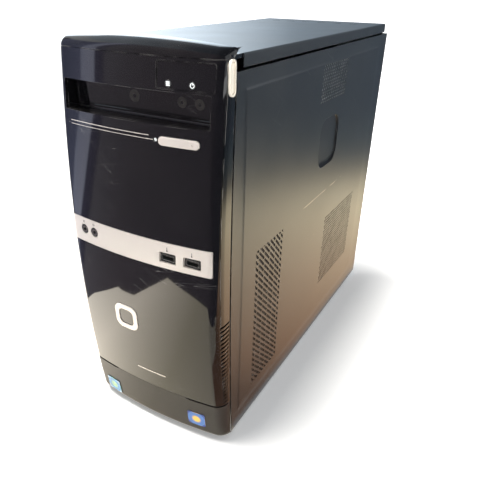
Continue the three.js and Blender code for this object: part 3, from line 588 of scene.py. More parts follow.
# %% Cut the side louvres
LOUVRE_Y, LOUVRE_Z, LOUVRE_PITCH, LOUVRE_TALL = (-31.0, -14.5), (45.0, 144.0), 4.6, 2.2
louvre = plate("louvre", "x", (-90, 90), LOUVRE_Y, (LOUVRE_Z[0], LOUVRE_Z[0] + LOUVRE_TALL), 1.0, 3)
rises = int((LOUVRE_Z[1] - LOUVRE_Z[0]) / LOUVRE_PITCH)
copies(louvre, [(0, 0, LOUVRE_PITCH * (i + 1)) for i in range(rises)])
carve(housing, louvre)
soften(housing, 0.35, 2)
TRIM_SPLIT = GLOSS_Z[0] - GAP
slice_at(housing, "z", [TRIM_SPLIT])
trim_height = SHIFT.z + TRIM_SPLIT * MM
hand_over(housing, "satin plastic", "case", "front_bezel",
          second=("gloss trim", lambda centre: centre.z > trim_height))

# %% [markdown]
# ## Gloss front
# A 3 mm polished panel, clipped into the housing. It is drawn flat with its openings, its edges are
# broken by a small bevel, and only then is it pressed over the bow: a highlight runs unbroken over it.

# %% Model the gloss front
THROUGH_FACE = (-1, 5)
LED_X, LED_ROOM = PILL_X[0] - 3.2, 1.9
PILL_Z = (PILL_AT - PILL_TALL / 2, PILL_AT + PILL_TALL / 2)
gloss = block("gloss_panel", (-GLOSS_HALF, GLOSS_HALF), (0, GLOSS_THICK), GLOSS_Z)
carve(gloss,
      plate("bay", "y", (-BAY_HALF, BAY_HALF), THROUGH_FACE, BAY_Z, 1.2, 4),
      plate("band room", "y", wider((-BAND_HALF, BAND_HALF)), THROUGH_FACE, wider(BAND_Z), 1.0, 3),
      plate("window room", "y", wider(STATUS_X), THROUGH_FACE, (STATUS_Z[0] - GAP, STATUS_Z[1] - 1),
            1.6, 3),
      plate("pill room", "y", wider(PILL_X), THROUGH_FACE, wider(PILL_Z), PILL_TALL / 2 + 0.3, 8),
      rod("led room", "y", LED_ROOM, THROUGH_FACE, (LED_X, PILL_AT), 20))
soften(gloss, 0.45, 2)
press_over_face(gloss, (-GLOSS_HALF, GLOSS_HALF), GLOSS_Z)
carve(gloss, power_outline("power room", GAP, (74.0, 84.0)))
hand_over(gloss, "gloss black", "case", "gloss_front")

# %% [markdown]
# ## Port band
# A painted strip across the front that frames the two front USB sockets and the headset jacks.

# %% Model the port band
USB_X, USB_AT = (35.2, 58.4), 205.0
JACK_X, JACK_AT, JACK_RADIUS, JACK_BORE = (-60.0, -47.0), 208.0, 4.3, 1.8


def about(middle, half):
    """Two ends at the same distance from a middle."""
    return middle - half, middle + half


band = plate("port_strip", "y", (-BAND_HALF, BAND_HALF), (0, GLOSS_THICK), BAND_Z, 0.8, 3)
for x in USB_X:
    carve(band, plate("usb room", "y", about(x, 8.1), THROUGH_FACE, about(USB_AT, 4.8), 1.0, 3))
for x in JACK_X:
    carve(band, rod("jack room", "y", JACK_RADIUS + GAP, THROUGH_FACE, (x, JACK_AT), 32))
soften(band, 0.5, 3)
press_over_face(band, (-BAND_HALF, BAND_HALF), BAND_Z)
hand_over(band, "silver paint", "case", "port_band")

# %% Front sockets
PIN_PITCH = 2.4
for index, x in enumerate(USB_X):
    side = ("left", "right")[index]
    front = face_y(x, USB_AT) + 1.2
    shell = plate(f"usb_surround_{side}", "y", about(x, 7.7), (front, front + 15), about(USB_AT, 4.4),
                  0.8, 3)
    carve(shell, block("mouth", about(x, 6.3), (front - 1, front + 12), about(USB_AT, 2.6)))
    soften(shell, 0.3)
    hand_over(shell, "black plastic", "case", f"usb_port_{side}")
    liner = block(f"usb_shell_{side}", about(x, 6.25), (front - 0.3, front + 11.8), about(USB_AT, 2.55))
    carve(liner, block("bore", about(x, 5.95), (front - 2, front + 11.5), about(USB_AT, 2.25)))
    hand_over(liner, "zinc steel", "case", None)
    tongue = block(f"usb_tongue_{side}", about(x, 5.2), (front + 1.2, front + 11.6),
                   (USB_AT + 0.1, USB_AT + 1.9))
    soften(tongue, 0.25)
    hand_over(tongue, "black plastic", "case", None)
    pins = block(f"usb_pins_{side}", (x - 4.1, x - 3.1), (front + 1.6, front + 9),
                 (USB_AT - 0.06, USB_AT + 0.14))
    copies(pins, [(PIN_PITCH * (i + 1), 0, 0) for i in range(3)])
    hand_over(pins, "gold contact", "case", None)

for name, x in zip(("microphone", "headphone"), JACK_X):
    front = face_y(x, JACK_AT) + 0.4
    jack = rod(f"{name}_socket", "y", JACK_RADIUS, (front, front + 15), (x, JACK_AT), 40)
    carve(jack, rod("bore", "y", JACK_BORE, (front - 1, front + 13), (x, JACK_AT), 24))
    soften(jack, 0.5, 3)
    hand_over(jack, "black plastic", "case", f"{name}_jack")
    ring = rod(f"{name}_ring", "y", 3.0, (front - 0.35, front + 0.6), (x, JACK_AT), 40)
    carve(ring, rod("bore", "y", JACK_BORE + 0.05, (front - 2, front + 3), (x, JACK_AT), 24))
    soften(ring, 0.2, 2)
    hand_over(ring, "chrome", "case", None)

# %% [markdown]
# ## Status window, eject pill and power button
# Small pieces catch the eye because their edges catch the light, so each gets a generous bevel.

# %% Model the window, the lamps and their marks
window = plate("status_glass", "y", STATUS_X, (0.6, GLOSS_THICK), (STATUS_Z[0], STATUS_Z[1] - 1.4), 1.2, 3)
LAMPS = {"disk": 36.2, "power": 56.0}
LAMP_Z = STATUS_Z[0] + 3.6
for x in LAMPS.values():
    carve(window, rod("lamp room", "y", 2.6, THROUGH_FACE, (x, LAMP_Z), 24))
soften(window, 0.35, 2)
press_over_face(window, STATUS_X, STATUS_Z)
hand_over(window, "gloss black", "case", "status_window")


def power_mark(x, y):
    """A broken ring with an upright bar in its gap, as on any power switch."""
    mark = rod("power_mark", "y", 1.9, about(y, 0.2), (x, LAMP_Z), 40)
    carve(mark, rod("hole", "y", 1.35, about(y, 2), (x, LAMP_Z), 40))
    carve(mark, block("gap", about(x, 0.6), about(y + 0.18, 2), (LAMP_Z + 0.7, LAMP_Z + 3)))
    return join(mark, block("bar", about(x, 0.25), (y - 0.2, y + 0.2), (LAMP_Z + 0.2, LAMP_Z + 2.1)))


def disk_mark(x, y):
    """Three short bars, one above another, for stacked discs."""
    bars = [plate("disk_mark", "y", about(x, 1.7), (y - 0.2, y + 0.2), about(LAMP_Z + level, 0.45), 0.42, 4)
            for level in (-1.15, 0.0, 1.15)]
    return join(*bars)


for lamp, x in LAMPS.items():
    y = face_y(x, LAMP_Z) + 0.8
    lens = rod(f"{lamp}_lamp", "y", 2.2, (y, y + 6), (x, LAMP_Z), 32)
    soften(lens, 0.5, 3)
    hand_over(lens, "black plastic", "case", f"{lamp}_led")
    mark = power_mark(x, y - 0.18) if lamp == "power" else disk_mark(x, y - 0.18)
    hand_over(mark, "white lens", "case", None)
y = face_y(LED_X, PILL_AT) + 0.8
small = rod("eject_lamp", "y", 1.5, (y, y + 6), (LED_X, PILL_AT), 24)
hand_over(soften(small, 0.5, 3), "white lens", "case", "eject_led")

# %% Model the eject pill
pill = plate("eject_pill", "y", PILL_X, (-0.8, 7.0), PILL_Z, PILL_TALL / 2 - 0.05, 8)
soften(pill, 0.7, 4)
press_over_face(pill, PILL_X, (PILL_AT - 4, PILL_AT + 4))
DIMPLE_X = PILL_X[1] - 5
carve(pill, rod("dimple", "y", 1.1, (-45, face_y(DIMPLE_X, PILL_AT) - 0.3), (DIMPLE_X, PILL_AT), 24))
hand_over(pill, "silver paint", "eject_button", "eject_button")

# %% Model the power button and its chrome frame
# The frame and key take the chrome whose cream base colour is a painted reflection of the warm table.
rim = power_outline("power_rim", 0, (80.6, HALF))
carve(rim, power_outline("rim hole", -POWER_RIM, (60, 90)))
soften(rim, 0.35, 3)
hand_over(rim, "chrome with painted reflection", "case", "power_button_frame")
button = power_outline("power_key", -POWER_RIM - GAP, (BEZEL_HALF - 5, HALF - 0.3))
soften(button, 0.5, 3)
hand_over(button, "chrome with painted reflection", "power_button", "power_button")

# %% [markdown]
# ## Steel covers
# The covers are folded from 0.8 mm sheet and powder painted. Folding leaves a small radius at every
# bend, and a press raises the middle of each side, which stops it drumming.

# %% Model the top cover
SHEET, CASE_TOP, COVER_DEPTH, SIDE_DEPTH, SIDE_TALL, FLANGE = 0.8, 366.0, 370.0, 388.0, 353.7, 9.7
BEND = 1.6
lid = block("roof", (-HALF, HALF), (0, COVER_DEPTH), (CASE_TOP - FLANGE, CASE_TOP))
pick(lid, edges=lambda a, b: a.z > CASE_TOP - 1 and b.z > CASE_TOP - 1 and abs(a.x - b.x) < 1e-3)
bpy.ops.mesh.bevel(offset=BEND, segments=5, affect="EDGES")
done()
pick(lid, faces=lambda centre, normal: normal.z < -0.9 or abs(normal.y) > 0.9)
bpy.ops.mesh.delete(type="FACE")
done()
apply(lid, "SOLIDIFY", thickness=SHEET, offset=-1, use_even_offset=True)
SLOT_X, SLOT_Y, SLOT_PITCH = (-57.9, -47.1), (331.5, 334.5), 21
slot_cut = plate("slot", "z", SLOT_X, SLOT_Y, about(CASE_TOP - 1, 5), 1.4, 4)
copies(slot_cut, [(SLOT_PITCH * (i + 1), 0, 0) for i in range(5)])
carve(lid, slot_cut)
soften(lid, 0.2, 2)
hand_over(lid, "case paint", "case", "top_cover")

# %% Model a side cover
PANEL_STEP, STEP_WIDTH = 0.9, 1.6
RAISED_Y, RAISED_Z = (7.0, 351.0), (22.0, 340.0)


def side_sheet(name, side):
    """The flat of a side cover with its curved front edge and its raised middle."""
    x = (HALF - SHEET, HALF) if side > 0 else (-HALF, SHEET - HALF)
    sheet = block(name, x, (-20, SIDE_DEPTH), (0, SIDE_TALL))
    slice_at(sheet, "y", sorted([*RAISED_Y, *wider(RAISED_Y, STEP_WIDTH)]) + [380])
    slice_at(sheet, "z", sorted([*RAISED_Z, *wider(RAISED_Z, STEP_WIDTH)]) + steps(0, SIDE_TALL, 24))

    def rule(p):
        inside = RAISED_Y[0] - 0.1 < p.y < RAISED_Y[1] + 0.1 and RAISED_Z[0] - 0.1 < p.z < RAISED_Z[1] + 0.1
        y = seam_y(p.z) + SEAM_GAP / 2 if p.y < -10 else p.y
        return Vector((p.x - (0 if inside else side * PANEL_STEP), y, p.z))
    return move_points(sheet, rule)


def hem(name, side):
    """The rear edge folded in behind the sheet."""
    outer, inner = HALF - PANEL_STEP - 0.2, HALF - 8
    x = (inner, outer) if side > 0 else (-outer, -inner)
    return block(name, x, (SIDE_DEPTH - SHEET, SIDE_DEPTH), (0, SIDE_TALL))


# %% [markdown]
# ## Vents in the access panel
# Three fields of holes are punched in the access side: short dashes near the top, a lattice of round
# holes over the processor fan, and slanted dashes behind the front. Each hole is a low-sided cutter,
# modelled once and copied, because there are hundreds.

# %% Cut the vents and the finger grip
access = carve(side_sheet("access_side", 1), hem("hem", 1), how="UNION")
PUNCH = (79, 86)


def rows_of(unit, pitch_y, pitch_z, shift, count_y, count_z):
    """Two staggered rows of a cutter, repeated up the panel."""
    copies(unit, [(0, shift, pitch_z)])
    repeat(unit, count_y, (0, pitch_y, 0))
    return repeat(unit, count_z // 2, (0, 0, 2 * pitch_z))


UPPER_Y, UPPER_Z = (164.0, 238.0), (302.0, 337.5)
dash = plate("dash", "x", PUNCH, (UPPER_Y[0], UPPER_Y[0] + 3.6), (UPPER_Z[0], UPPER_Z[0] + 1.7), 0.8, 2)
carve(access, rows_of(dash, 5.6, 3.2, 2.8, 13, 12))

LOWER_Y, LOWER_Z = (216.0, 321.0), (65.0, 162.0)
hole = rod("hole", "x", 1.35, PUNCH, (LOWER_Y[0], LOWER_Z[0]), 8)
carve(access, rows_of(hole, 4.2, 3.64, 2.1, 25, 26))

FRONT_Y, FRONT_Z = (32.0, 90.0), (34.0, 192.0)
LINE_PITCH, DASH_LONG, DASH_WIDE, DASH_STEP = 6.7, 15.0, 2.6, 16.6
DROP = DASH_STEP / math.sqrt(2)
slant = plate("slant", "x", PUNCH, about(0, DASH_LONG / 2), about(0, DASH_WIDE / 2), 1.0, 3)
only(slant)
bpy.ops.transform.rotate(value=math.radians(45), orient_axis="X", center_override=(HALF, 0, 0))
bpy.ops.transform.translate(value=(0, FRONT_Y[0], FRONT_Z[0]))
bpy.ops.object.transform_apply(location=True, rotation=True, scale=False)
repeat(slant, 7, (0, DROP, -DROP))
repeat(slant, 34, (0, 0, LINE_PITCH))
carve(slant, block("clip", (77, 87), FRONT_Y, FRONT_Z), how="INTERSECT")
carve(access, slant)

GRIP_Y, GRIP_Z, GRIP_CORNER, GRIP_SLOPE = (171.0, 227.0), (229.0, 283.0), 16.0, 4.2
dish = plate("dish", "x", (HALF - 7, HALF - 0.4), wider(GRIP_Y, 1), wider(GRIP_Z, 1), GRIP_CORNER + 1, 8)
carve(access, dish, how="UNION")
scoop = plate("scoop", "x", (HALF - 6, HALF + 2), GRIP_Y, GRIP_Z, GRIP_CORNER, 8)


def slope_floor(p):
    """Makes the floor of the grip rise towards the rear, so that fingers can pull on its front wall."""
    along = (p.y - GRIP_Y[0]) / (GRIP_Y[1] - GRIP_Y[0])
    return Vector((p.x + (GRIP_SLOPE * along if p.x < HALF else 0), p.y, p.z))


carve(access, move_points(scoop, slope_floor))
SCREW_X, SCREW_Z, EAR_Y = 75.0, (28.0, 338.0), 367.2
for z in SCREW_Z:
    ear = plate("ear", "y", (SCREW_X - 7, HALF - 1), (EAR_Y, EAR_Y + SHEET), about(z, 8), 2.5, 4)
    carve(access, ear, how="UNION")
    carve(access, rod("screw hole", "y", 2.4, (EAR_Y - 2, EAR_Y + 3), (SCREW_X, z), 24))
soften(access, 0.25, 2, 40)


# %% Paint the access side
SCRATCH_Y = (-0.0365, 0.0904)     # metres, from where the scratch starts to where it ends
SCRATCH_SLOPE, SCRATCH_START = 0.013, 0.2023
WOBBLE = 0.003


def scratch_line(tree, tint):
    """One long light scratch drawn across the panel, with a broken edge."""
    spot = spot_on(tree)
    parts = node(tree, "ShaderNodeSeparateXYZ", {0: spot}).outputs
    wobble = noise(tree, spot, 60.0, 4.0)
    run = maths(tree, "MULTIPLY_ADD", parts[1], SCRATCH_SLOPE, SCRATCH_START)
    bent = maths(tree, "MULTIPLY_ADD", wobble, WOBBLE, maths(tree, "SUBTRACT", parts[2], run))
    near = maths(tree, "ABSOLUTE", maths(tree, "SUBTRACT", bent, WOBBLE / 2))
    inside = times(tree, ramp(tree, parts[1], SCRATCH_Y[0], SCRATCH_Y[0] + 0.012),
                   ramp(tree, parts[1], SCRATCH_Y[1], SCRATCH_Y[1] - 0.02))
    line = times(tree, ramp(tree, near, 0.0008, 0.0002), inside)
    shown = times(tree, line, ramp(tree, wobble, 0.35, 0.6))
    return blend_colour(tree, times(tree, shown, 0.8), tint, colour("#c9c2b4"))


finish("access paint", **POWDER, extra=scratch_line)
hand_over(access, "access paint", "access_panel", "access_panel")

# %% The closed side
far = carve(side_sheet("closed_side", -1), hem("hem", -1), how="UNION")
soften(far, 0.25, 2, 40)
hand_over(far, "case paint", "case", "left_cover")

# %% [markdown]
# ## Dust screens
# A thin cloth is stuck behind each vent, so that air passes and fluff stays out. The upper one is pale
# and the two larger ones dark, so each is a plate a little wider than its vent with its own finish.

# %% Model the dust screens
finish("pale cloth", "#98a0a2", "#b4bab8", 0.8, depth=0.00004, dusty=0.1)
finish("dark cloth", "#2a2521", "#38312b", 0.85, depth=0.00004, dusty=0.1)
SCREEN_X, SCREEN_LAP = (81.25, 81.66), 3
SCREENS = {"upper": (UPPER_Y, UPPER_Z, "pale cloth"), "lower": (LOWER_Y, LOWER_Z, "dark cloth"),
           "front": (FRONT_Y, FRONT_Z, "dark cloth")}
for vent, (y, z, cloth) in SCREENS.items():
    screen = plate(f"screen_{vent}", "x", SCREEN_X, wider(y, SCREEN_LAP), wider(z, SCREEN_LAP), 2.5, 4)
    soften(screen, 0.1)
    hand_over(screen, cloth, "access_panel", None)

# %% [markdown]
# ## Tray front
# The drive's own face sits back in the bay. Its door is a moulded strip with a soft edge and a shallow
# pressed field, made by insetting its face twice and pushing it in. Three faint rings are printed on it.

# %% Model the tray front
door = block("tray_door", (1 - BAY_HALF, BAY_HALF - 1), (-BAY_FACE, -12.7), wider(BAY_Z, -1.2))
pick(door, faces=lambda centre, normal: normal.y < -0.9)
bpy.ops.mesh.inset(thickness=1.6)
bpy.ops.mesh.inset(thickness=0.5)
bpy.ops.transform.translate(value=(0, 0.35, 0))
done()
soften(door, 0.4, 3)
hand_over(door, "gloss black", "disc_tray", "tray_front")
PRINTS, PRINT_Z = ((-8.0, 5.0), (38.0, 4.2), (54.0, 4.2)), BAY_Z[0] + 14.5
for index, (x, radius) in enumerate(PRINTS):
    mark = rod(f"disc_mark_{index + 1}", "y", radius, (-BAY_FACE + 0.28, -BAY_FACE + 0.5), (x, PRINT_Z), 36)
    carve(mark, rod("hole", "y", radius * 0.32, (-20, -10), (x, PRINT_Z), 20))
    hand_over(mark, "satin plastic", "disc_tray", None)

# %% [markdown]
# ## Marks on the front
# A plain raised ring low on the panel, two pinstripes beside the eject pill, a stripe above the lower
# trim, small dark marks over the sockets and two printed plates at the foot. All are plain shapes, drawn
# flat and thin and then pressed over the bow, as a foil or a sticker is.

# %% Model the ring and the stripes
RING_X, RING_Z, RING_OUT, RING_IN = -17.0, 127.0, 13.5, 8.6
ring = plate("front_ring", "y", about(RING_X, RING_OUT), (-0.9, 0.3), about(RING_Z, RING_OUT), 8.0, 10)
carve(ring, plate("hole", "y", about(RING_X, RING_IN), (-2, 2), about(RING_Z, RING_IN), 5.0, 10))
soften(ring, 0.4, 3)
press_over_face(ring, (-40, 10), (100, 150))
hand_over(ring, "silver paint", "case", None)
INK = (-0.12, 0.1)
STRIPES = {"pinstripe_upper": ((-65, 20), (306.0, 306.5)), "pinstripe_lower": ((-65, 24), (303.2, 303.6)),
           "foot_stripe": ((-12, 22), (66.0, 67.2))}
for name, (x, z) in STRIPES.items():
    stripe = block(name, x, INK, z)
    press_over_face(stripe, x, z)
    hand_over(stripe, "silver paint", "case", None)

# %% Model the marks over the sockets
for index, x in enumerate(USB_X):
    stem = block(f"usb_mark_{index + 1}", about(x, 0.2), INK, (USB_AT + 7.2, USB_AT + 10.2))
    join(stem, rod("dot", "y", 0.6, INK, (x, USB_AT + 7.0), 16))
    press_over_face(stem, about(x, 1), (USB_AT, USB_AT + 12))
    hand_over(stem, "black plastic", "case", None)
MARK_Z = JACK_AT + 7.4
for index, x in enumerate(JACK_X):
    mark = rod(f"jack_mark_{index + 1}", "y", 1.1, INK, (x, MARK_Z), 24)
    carve(mark, rod("hole", "y", 0.75, (-1, 1), (x, MARK_Z), 24))
    press_over_face(mark, about(x, 2), (JACK_AT + 5, JACK_AT + 10))
    hand_over(mark, "black plastic", "case", None)

# %% Model the printed plates
PRINT_SHIFT, PRINT_SCALE = (-0.8, -0.8, 0.0), (1.6, 1.6, 0.0)


def plate_print(edge, middle, heart):
    """A printed plate: a border, a field and a soft bright middle."""
    def paint(tree, tint):
        flat = node(tree, "ShaderNodeTexCoord").outputs["UV"]
        centred = node(tree, "ShaderNodeMapping",
                       {"Vector": flat, "Location": PRINT_SHIFT, "Scale": PRINT_SCALE}).outputs[0]
        ball = node(tree, "ShaderNodeTexGradient", {0: centred}, gradient_type="SPHERICAL").outputs["Fac"]
        field = blend_colour(tree, ramp(tree, ball, 0.12, 0.2), colour(edge), colour(middle))
        return blend_colour(tree, ramp(tree, ball, 0.5, 0.75), field, colour(heart))
    return paint


PRINTED = dict(rough=0.3, scratch=0.1, wear=0.2, coat=0.6, dusty=0.05)
finish("print blue", "#2a6fae", "#2a6fae", **PRINTED, extra=plate_print("#9fb8c4", "#2f7fae", "#8fbf8a"))
finish("print violet", "#4a4a9e", "#5a4a9e", **PRINTED, extra=plate_print("#2c3a86", "#3f6fb0", "#e0b24a"))
LABELS = {"left": ((-57.0, 14.0), "print blue"), "right": ((52.5, 20.0), "print violet")}
for side, ((x, z), print_name) in LABELS.items():
    badge = plate(f"foot_plate_{side}", "y", about(x, 9.5), (-0.75, -0.35), about(z, 9), 1.8, 5)
    soften(badge, 0.15)
    only(badge)
    bpy.ops.object.mode_set(mode="EDIT")
    bpy.ops.mesh.select_all(action="SELECT")
    bpy.ops.uv.cube_project(cube_size=19)
    done()
    press_over_face(badge, about(x, 9.5), about(z, 9))
    hand_over(badge, print_name, "case", f"label_{side}")

# %% [markdown]
# ## Rear wall
# The rear is bare zinc-plated steel, punched for the fan, the power supply, the connectors and the
# four card slots. The fan hole is a field of round holes, left as a guard in front of the blades.

# %% Model the rear wall
REAR = SIDE_DEPTH - 21.2
REAR_INNER = REAR - SHEET


def centre_of(node_name):
    """The middle of a frame node, across the case and up, in this lesson's millimetres."""
    low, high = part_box(node_name)
    middle = ((Vector(low) + Vector(high)) / 2 - SHIFT) / MM
    return middle.x, middle.z


FAN_AT, FAN_RADIUS, FAN_SCREW = centre_of("rear_fan_frame"), 42.0, 37.5
print("rear fan centre", FAN_AT)
IO_X, IO_Z = (-73.6, -29.6), (18.0, 176.4)
PSU_X, PSU_Z = (-78.0, 72.0), (274.0, 360.0)
CARD_X, CARD_FIRST, CARD_PITCH, CARD_TALL = (-52, 50), 200, 20.32, 13
FRAME_HALF = HALF - SHEET - 0.5
THROUGH = (REAR_INNER - 4, REAR + 4)
WALL_Z = (SHEET + GAP, CASE_TOP - SHEET - GAP)
wall = block("rear_wall", (-FRAME_HALF, FRAME_HALF), (REAR_INNER, REAR), WALL_Z)
carve(wall,
      plate("io", "y", wider(IO_X), THROUGH, wider(IO_Z), 1.0, 3),
      plate("psu", "y", (PSU_X[0] + 4, PSU_X[1] - 5), THROUGH, wider(PSU_Z, -4), 3.0, 4))
for index in range(4):
    middle = CARD_FIRST + CARD_PITCH * index
    carve(wall, plate("slot", "y", CARD_X, THROUGH, about(middle, CARD_TALL / 2), 1.2, 3))
for z in SCREW_Z:
    carve(wall, rod("screw", "y", 2.4, THROUGH, (SCREW_X, z), 24))

# %% Punch the fan guard
GUARD_PITCH = (5.8, 10.04)     # along a row, and over two rows
guard_holes = rod("guard hole", "y", 2.5, THROUGH, (FAN_AT[0] - 40, FAN_AT[1] - 40), 6)
copies(guard_holes, [(GUARD_PITCH[0] / 2, 0, GUARD_PITCH[1] / 2)])
repeat(guard_holes, 15, (GUARD_PITCH[0], 0, 0))
repeat(guard_holes, 8, (0, 0, GUARD_PITCH[1]))
carve(guard_holes, rod("round", "y", FAN_RADIUS - 1, (REAR - 3, REAR + 3), FAN_AT, 48), how="INTERSECT")
carve(wall, guard_holes)
for dx in (-FAN_SCREW, FAN_SCREW):
    for dz in (-FAN_SCREW, FAN_SCREW):
        carve(wall, rod("fan screw", "y", 2.2, THROUGH, (FAN_AT[0] + dx, FAN_AT[1] + dz), 16))
soften(wall, 0.15, 1)
hand_over(wall, "zinc steel", "case", "chassis_rear")

# %% [markdown]
# ## The power supply's fan guard
# On the real machine it is steel wire bent into hoops and welded to two crossed spokes, then plated.

# %% Model the wire guard
(PSU_FAN_X, PSU_FAN_Z), WIRE = centre_of("psu_fan"), 1.1
GUARD_Y = REAR_INNER - GAP + WIRE
hoops = []
for radius in (8, 15, 22, 29, 36, 42):
    bpy.ops.object.select_all(action="DESELECT")
    bpy.ops.mesh.primitive_torus_add(
        major_radius=radius, minor_radius=WIRE, major_segments=64, minor_segments=8,
        location=(PSU_FAN_X, GUARD_Y, PSU_FAN_Z), rotation=TURNS["y"])
    hoops.append(bare("psu_fan_guard"))
guard = join(*hoops)
for turn in (45, 135):
    spoke = rod("spoke", "x", WIRE, (-48, 48), (GUARD_Y + 1.4, 0), 8)
    only(spoke)
    bpy.ops.transform.rotate(value=math.radians(turn), orient_axis="Y", center_override=(0, 0, 0))
    bpy.ops.transform.translate(value=(PSU_FAN_X, 0, PSU_FAN_Z))
    bpy.ops.object.transform_apply(location=True, rotation=True, scale=False)
    join(guard, spoke)
hand_over(guard, "chrome", "case", None)

# %% [markdown]
# ## Feet
# Four turned rubber feet stand under the corners, each with a shallow cup in its sole that grips a desk.

# %% Model the feet
FOOT_X, FOOT_INSET, FOOT_RADIUS = 62.5, 32, 9.0
places = [(x, y) for y in (FOOT_INSET, REAR - FOOT_INSET) for x in (-FOOT_X, FOOT_X)]
for index, at in enumerate(places):
    foot = rod(f"rubber_foot_{index + 1}", "z", FOOT_RADIUS, (-6.0, -GAP), at, 40)
    pick(foot, faces=lambda centre, normal: normal.z < -0.9)
    bpy.ops.mesh.inset(thickness=2.6)
    bpy.ops.mesh.inset(thickness=0.8)
    bpy.ops.transform.translate(value=(0, 0, 1.2))
    done()
    soften(foot, 0.8, 3, 40)
    hand_over(foot, "rubber", "case", f"foot_{index + 1}")

# %% [markdown]
# ## Finishes for the pieces that keep their shape
# The drives, board, fans and brackets are right as the frame has them. Each gets the finish that its
# record slot asks for.

# %% Dress the frame's own pieces
BY_SLOT = {"bezel_satin": "satin plastic", "gloss_black": "gloss black", "silver_band": "silver paint",
           "chrome_trim": "chrome", "lens_white": "white lens", "black_plastic": "black plastic",
           "case_paint": "case paint", "bare_steel": "zinc steel", "board_green": "board green",
           "foot_rubber": "rubber", "cast_alloy": "cast alloy", "red_plastic": "red plastic",
           "label_print": "silver paint"}
dressed = 0
for name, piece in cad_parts.items():
    for place in piece.material_slots:
        wanted = place.material.name.split(".")[0] if place.material else ""
        if wanted in BY_SLOT:
            place.material = finishes[BY_SLOT[wanted]]
            dressed += 1
        else:
            print("no finish for", name, wanted)
print("frame slots dressed", dressed)

# %% [markdown]
# ## Stage, light and camera
# A pale floor and soft light from the front left, as a product table has. Polished and satin faces
# show what stands around them, so cards that only reflections can see are laid where the finish looks.

# %% Floor and sky
bpy.context.scene.view_settings.view_transform = "Standard"
WHITE = (1, 1, 1, 1)


def stage_finish(name, make):
    """A material for a stage piece, filled in by its own rule."""
    material = bpy.data.materials.new(name)
    material.use_nodes = True
    make(material.node_tree, material.node_tree.nodes["Principled BSDF"])
    return material


def floor_look(tree, shader):
    """White paper that glows more with distance, so that it runs into the sky."""
    clouds = node(tree, "ShaderNodeTexNoise", {"Scale": 3.0}).outputs[0]
    paper = blend_colour(tree, clouds, colour("#f6f5f3"), colour("#fbfaf8"))
    tree.links.new(paper, shader.inputs["Base Color"])
    shader.inputs["Roughness"].default_value = 0.9
    shader.inputs["Specular IOR Level"].default_value = 0.1
    reach = node(tree, "ShaderNodeVectorMath", {0: spot_on(tree)}, operation="LENGTH").outputs["Value"]
    far = node(tree, "ShaderNodeMapRange", {0: reach, 1: 0.3, 2: 1.6, 3: 0.1, 4: 1.0}).outputs[0]
    shader.inputs["Emission Color"].default_value = WHITE
    tree.links.new(far, shader.inputs["Emission Strength"])


bpy.ops.object.select_all(action="DESELECT")
bpy.ops.mesh.primitive_plane_add(size=80, location=(0, 0, 0))
floor = bpy.context.object
floor.name = "floor"
floor.data.materials.append(stage_finish("paper floor", floor_look))

world = bpy.data.worlds.new("studio")
bpy.context.scene.world = world
world.use_nodes = True
sky = world.node_tree
dim = sky.nodes["Background"]
dim.inputs["Color"].default_value = (0.93, 0.96, 1.0, 1.0)
dim.inputs["Strength"].default_value = 0.6
white = node(sky, "ShaderNodeBackground", {"Color": WHITE})
seen = node(sky, "ShaderNodeLightPath").outputs["Is Camera Ray"]
choose = node(sky, "ShaderNodeMixShader", {0: seen, 1: dim.outputs[0], 2: white.outputs[0]})
sky.links.new(choose.outputs[0], sky.nodes["World Output"].inputs[0])


# %% Lamps
def soft_lamp(name, place, aim, size, power, tint):
    """A round soft lamp that lights the machine but is not mirrored in it."""
    lamp = bpy.data.lights.new(name, "AREA")
    lamp.shape = "DISK"
    lamp.size, lamp.energy, lamp.color = size, power, tint
    holder = bpy.data.objects.new(name, lamp)
    bpy.context.scene.collection.objects.link(holder)
    holder.location = place
    holder.visible_glossy = False
    holder.rotation_euler = (Vector(aim) - Vector(place)).to_track_quat("-Z", "Y").to_euler()


soft_lamp("key", (-0.5, -0.35, 2.4), (0, 0, 0.1), 1.0, 130, (1.0, 0.98, 0.95))
soft_lamp("fill", (0.9, -1.8, 1.2), (0, 0, 0.15), 1.4, 8, (0.95, 0.97, 1.0))

# %% [markdown]
# ## Cards
# A gloss front is black paint under a clear coat, so nearly all that shows on it is the room. Each card
# stands for a part of the room: a dim wall with a window, a pale table, a bright sky and a warm floor.


# %% Card helpers
def card(name, corners, make):
    """A flat outline on the stage, hidden from the camera, the shadows and the diffuse light."""
    bpy.ops.object.select_all(action="DESELECT")
    bpy.ops.mesh.primitive_circle_add(vertices=len(corners), fill_type="NGON", location=(0, 0, 0))
    piece = bpy.context.object
    piece.name = name
    for point, corner in zip(piece.data.vertices, corners):
        point.co = corner
    piece.data.materials.append(stage_finish(name, make))
    piece.visible_camera = False
    piece.visible_diffuse = False
    piece.visible_shadow = False


def upright(start, end, top):
    """The corners of a wall that stands on the line between two floor points."""
    return [(*start, 0.0), (*end, 0.0), (*end, top), (*start, top)]


def level(x, y, z):
    """The corners of a flat rectangle."""
    return [(x[0], y[0], z), (x[1], y[0], z), (x[1], y[1], z), (x[0], y[1], z)]


def glow(tree, shader, source, start, end, strength, stops):
    """Emission that follows a colour ramp along some measure of place."""
    along = node(tree, "ShaderNodeMapRange", {0: source, 1: start, 2: end}).outputs[0]
    scale = node(tree, "ShaderNodeValToRGB", {0: along})
    while len(scale.color_ramp.elements) < len(stops):
        scale.color_ramp.elements.new(0.5)
    for element, (where, tone) in zip(scale.color_ramp.elements, stops):
        element.position = where
        element.color = colour(tone)
    shader.inputs["Base Color"].default_value = (0, 0, 0, 1)
    shader.inputs["Specular IOR Level"].default_value = 0.0
    tree.links.new(scale.outputs[0], shader.inputs["Emission Color"])
    shader.inputs["Emission Strength"].default_value = strength


